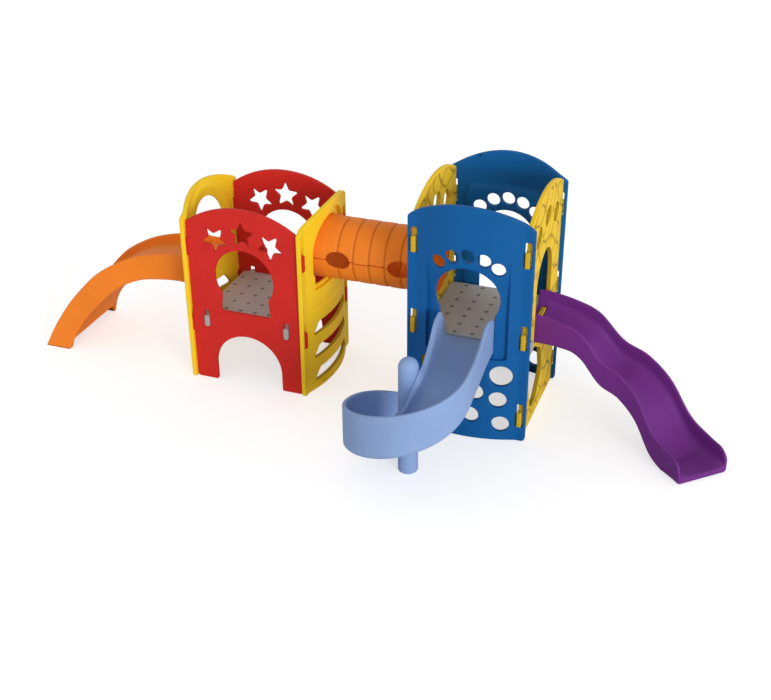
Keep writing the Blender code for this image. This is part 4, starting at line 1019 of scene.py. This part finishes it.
spiralSlide = {
    "postAcross": -0.256, "postAlong": -1.203, "postRadius": 0.078, "postHeight": 1.0,
    "footRound": 0.012,
    "outerRadius": 0.5, "clearance": 0.0794, "neckWidth": 0.436, "through": 0.182,
    "wall": 0.034, "rimWidth": 0.03, "innerRim": 0.014, "startWall": 0.018, "wallFull": 0.42,
    "bed": 0.047, "startBed": 0.018, "bedFull": 0.3, "fullness": 4.0, "edge": 0.035,
    "endRound": 0.1, "capRound": 0.014, "deckGap": 0.009, "lowestWall": 0.018,
    "straightRows": 70, "turnRows": 150,
    "straight": ((0.0, 0.83, 0.755), (0.045, 0.955, 0.755), (0.10, 1.045, 0.755),
                 (0.155, 1.09, 0.755), (0.21, 1.11, 0.748), (0.30, 1.112, 0.742),
                 (0.42, 1.062, 0.734), (0.545, 1.031, 0.723), (0.675, 1.007, 0.71)),
    "straightDrop": (0.0, 0.0, 0.0, 0.0, 0.02, 0.04, 0.06, 0.08, 0.10),
    "rim": (1.0, 0.912, 0.845, 0.78, 0.713, 0.64, 0.562, 0.493, 0.42, 0.35),
    "innerRimHeights": (0.90, 0.862, 0.768, 0.64, 0.570, 0.535, 0.47, 0.40, 0.33, 0.27),
    "underside": (0.697, 0.58, 0.49, 0.408, 0.338, 0.27, 0.19, 0.12, 0.05, 0.0),
    "turn": 266.0,
}


def postSpot():
    # where the post stands on the floor
    return tallTower[:2] + (spiralSlide["postAcross"], spiralSlide["postAlong"])


def buildSpiralSlide():
    # straight out of the tower, then clockwise round the post while it comes down
    s = SimpleNamespace(**spiralSlide)
    post = postSpot()
    width = s.outerRadius - s.clearance
    radius = s.clearance + width / 2
    deckEdge = tallTower[1] - deck["along"]
    length = deckEdge - post[1]
    t = np.linspace(0, 1, s.straightRows)
    out, rim, floor = smoothCurve(s.straight, t).T
    keep = out > s.deckGap
    out, rim, floor, drop = out[keep], rim[keep], floor[keep], smoothCurve(s.straightDrop, t)[keep]
    f = np.clip((out - s.through) / (length - s.through), 0, 1)
    ease = f * f * (3 - 2 * f)
    straight = np.column_stack([tallTower[0] + (post[0] + radius - tallTower[0]) * ease,
                                deckEdge - out])
    t = np.linspace(0, 1, s.turnRows)
    angle = math.radians(s.turn) * t
    turn = post + np.column_stack([np.cos(angle), -np.sin(angle)]) * radius
    spot = np.vstack([straight, turn])
    heading = -np.pi / 2 - np.concatenate([0 * out, angle])
    across = np.concatenate([s.neckWidth + (width - s.neckWidth) * ease, 0 * t + width])
    floor = np.concatenate([floor, np.maximum(smoothCurve(s.underside, t), 0)])
    outer = np.concatenate([rim, smoothCurve(s.rim, t)])
    inner = np.concatenate([rim - drop, smoothCurve(s.innerRimHeights, t)])
    along = np.concatenate([out - out[0], length - out[0] + t * math.radians(s.turn) * radius])
    ending = endShare(along[-1] - along, s.endRound)
    inset = endInset(along, along[-1], s.capRound)
    bed = s.bed + s.startBed * np.clip(1 - along / s.bedFull, 0, 1)
    low = bed + s.lowestWall
    wall = np.interp(along, [0, s.wallFull], [s.startWall, s.wall])
    sides = [(low + (np.maximum(top - floor, low) - low) * ending - 2 * inset,
              wall - 1.9 * inset * wall / s.wall,
              np.minimum(wall, rimWidth) * (1 - 0.9 * inset / s.capRound))
             for top, rimWidth in ((outer, s.rimWidth), (inner, s.innerRim))]
    section = chuteSection(across - 2 * inset, sides, bed - 2 * inset, s.fullness, s.edge)
    patches = sweepSection(section, spot, heading, floor + inset)
    buildMesh("spiral_slide_chute", patches, "light blue", ["spiral_slide"])


def buildPost():
    # a turned profile: small round at the foot, dome at the top
    s = SimpleNamespace(**spiralSlide)
    post, sides = postSpot(), 64
    angle = np.linspace(0, np.pi / 2, 12)
    foot = np.column_stack([s.postRadius - s.footRound * (1 - np.sin(angle)),
                            s.footRound * (1 - np.cos(angle))])
    dome = np.column_stack([s.postRadius * np.cos(angle[:-1]),
                            s.postHeight - s.postRadius * (1 - np.sin(angle[:-1]))])
    across, up = np.vstack([[[0.0, 0.0]], foot, dome, [[0.0, s.postHeight]]]).T
    turn = np.linspace(0, 2 * np.pi, sides, endpoint=False)[:, None]
    points = np.stack([post[0] + across * np.cos(turn), post[1] + across * np.sin(turn),
                       up + 0 * turn], -1)
    patches = [(points.reshape(-1, 3), gridFaces(sides, len(up), True, False))]
    buildMesh("spiral_post_column", patches, "light blue", ["spiral_post"])


buildSpiralSlide()
buildPost()

archSlide = {
    "rim": ((0.0, 1.012), (0.15, 1.02), (0.34, 0.99), (0.54, 0.935), (0.725, 0.85), (0.935, 0.71),
            (1.145, 0.49), (1.262, 0.33), (1.363, 0.16), (1.435, 0.0)),
    "keel": ((0.0, 0.762), (0.16, 0.765), (0.32, 0.748), (0.50, 0.715), (0.67, 0.64), (0.815, 0.53),
             (0.97, 0.37), (1.07, 0.25), (1.14, 0.13), (1.19, 0.0)),
    "halfTop": 0.245, "halfFoot": 0.415, "drift": -0.033, "flareStart": 0.25, "flarePower": 1.5,
    "wall": 0.03, "bedDepth": 0.07, "fullness": 6.0, "edge": 0.02, "neckBed": 0.02, "sill": 0.9547,
    "footGapHalf": 0.365, "footGapHeight": 0.095, "footGapDepth": 0.13, "capRound": 0.012,
    "steps": 110, "neckRows": 12,
}


def buildArchSlide():
    # sections between the rim and the keel, widening towards the foot, with a gap under the foot
    s = SimpleNamespace(**archSlide)
    face = lowTower[0] - panels.bowedFace - panels.bowDepth
    t = np.linspace(0, 1, s.steps + 1)
    rim, keel = smoothCurve(s.rim, t), smoothCurve(s.keel, t)
    rim[:, 1], keel[:, 1] = np.maximum(rim[:, 1], 0), np.maximum(keel[:, 1], 0)
    spread = np.clip((t - s.flareStart) / (1 - s.flareStart), 0, 1) ** s.flarePower
    neck = np.linspace(panels.bowDepth + panels.thickness, 0.002, s.neckRows)
    rim = np.vstack([np.column_stack([-neck, 0 * neck + rim[0, 1]]), rim])
    keel = np.vstack([np.column_stack([-neck, 0 * neck + s.sill]), keel])
    spread = np.concatenate([0 * neck, spread])
    half = s.halfTop + (s.halfFoot - s.halfTop) * spread
    height = np.linalg.norm(rim - keel, axis=1)
    bed = np.where(np.arange(len(height)) < s.neckRows, s.neckBed, height - s.bedDepth)
    up = (rim - keel) / height[:, None]
    along = np.concatenate([[0], np.cumsum(np.linalg.norm(np.diff(rim, axis=0), axis=1))])
    inset = endInset(along, along[-1] + 1, s.capRound)
    sides = [(height - 2 * inset, s.wall - 2 * inset, s.wall - 2 * inset)] * 2
    section = chuteSection(2 * (half - inset), sides, bed - 2 * np.minimum(inset, 0.4 * bed),
                           s.fullness, np.minimum(s.edge, 0.3 * bed))
    rise = section[..., 1] + inset[:, None]
    x = face - (keel[:, :1] + up[:, :1] * rise)
    y = lowTower[1] + s.drift * spread[:, None] + section[..., 0]
    z = keel[:, 1:] + up[:, 1:] * rise
    back, middle = face - s.keel[-1][0], lowTower[1] + s.drift
    gap = slab((back - s.footGapDepth, back + 0.3),
               (middle - s.footGapHalf, middle + s.footGapHalf), (-0.1, s.footGapHeight), 0.02)
    patches = closedSweep(np.stack([x, y, z], -1))
    buildMesh("arched_slide_chute", patches, "orange", ["orange_slide"], cutters=[gap])


buildArchSlide()
print("slides done")


# floor, light and camera

studio = {
    "floorSize": 60.0, "floorTone": 0.66, "floorGlow": 0.6, "floorRoughness": 0.9,
    "horizonLight": 0.98, "zenithLight": 0.45,
    "sunStrength": 1.5, "sunSpread": 24.0, "sunTurn": (80.0, 0.0, 49.0),
}


def buildFloor():
    # a pale plane whose own glow only the camera sees, so that it stays white behind the shadows
    s = SimpleNamespace(**studio)
    edge = s.floorSize / 2
    mesh = bpy.data.meshes.new("floor")
    mesh.from_pydata([(-edge, -edge, 0), (edge, -edge, 0), (edge, edge, 0), (-edge, edge, 0)], [],
                     [(0, 1, 2, 3)])
    material, tree, shader = blankMaterial("pale floor")
    seen = node(tree, "ShaderNodeLightPath").outputs["Is Camera Ray"]
    glow = node(tree, "ShaderNodeMath", (seen, s.floorGlow), operation="MULTIPLY")
    wire(tree, shader, Base_Color=(s.floorTone,) * 3 + (1,), Roughness=s.floorRoughness,
         Specular_IOR_Level=0.0, Emission_Color=(1, 1, 1, 1),
         Emission_Strength=glow.outputs["Value"])
    mesh.materials.append(material)
    floor = addObject("floor", mesh)


def lightStudio():
    # an even pale sky for light, pure white where the camera sees it, and one broad soft sun
    s = SimpleNamespace(**studio)
    world = bpy.data.worlds.new("studio")
    bpy.context.scene.world = world
    world.use_nodes = True
    tree = world.node_tree
    background = tree.nodes["Background"]
    seen = node(tree, "ShaderNodeLightPath").outputs["Is Camera Ray"]
    toSky = node(tree, "ShaderNodeTexCoord").outputs["Generated"]
    height = node(tree, "ShaderNodeSeparateXYZ", Vector=toSky).outputs["Z"]
    sky = node(tree, "ShaderNodeMapRange", Value=height, To_Min=s.horizonLight,
               To_Max=s.zenithLight)
    light = node(tree, "ShaderNodeMapRange", Value=seen, To_Min=sky.outputs["Result"], To_Max=1.0)
    wire(tree, background, Color=(1, 1, 1, 1), Strength=light.outputs["Result"])
    lamp = bpy.data.lights.new("soft sun", "SUN")
    lamp.energy = s.sunStrength
    lamp.angle = math.radians(s.sunSpread)
    sun = addObject("soft sun", lamp)
    sun.rotation_euler = [math.radians(angle) for angle in s.sunTurn]


cameraView = {
    "fromLowTower": (4.3267, -8.8644, 5.6977), "yaw": 0.3458, "pitch": 0.5171, "roll": 0.003,
    "focalPixels": 1266.26, "middle": (391.7127, 347.1081), "frame": (771, 700),
}


def setCamera():
    # turned by roll about its own line of sight, pitched down from level, then turned by yaw
    s = SimpleNamespace(**cameraView)
    wide, tall = s.frame
    lens = bpy.data.cameras.new("camera")
    lens.sensor_width = 36
    lens.lens = lens.sensor_width * s.focalPixels / wide
    lens.shift_x = (wide / 2 - s.middle[0]) / wide
    lens.shift_y = (s.middle[1] - tall / 2) / wide
    camera = addObject("camera", lens)
    place = Matrix.Translation(Vector((*lowTower[:2], 0)) + Vector(s.fromLowTower))
    for angle, axis in ((s.yaw, "Z"), (math.pi / 2 - s.pitch, "X"), (-s.roll, "Z")):
        place = place @ Matrix.Rotation(angle, 4, axis)
    camera.matrix_world = place
    bpy.context.scene.camera = camera


buildFloor()
lightStudio()
setCamera()
bpy.context.scene.view_settings.view_transform = "Standard"
print("studio ready")
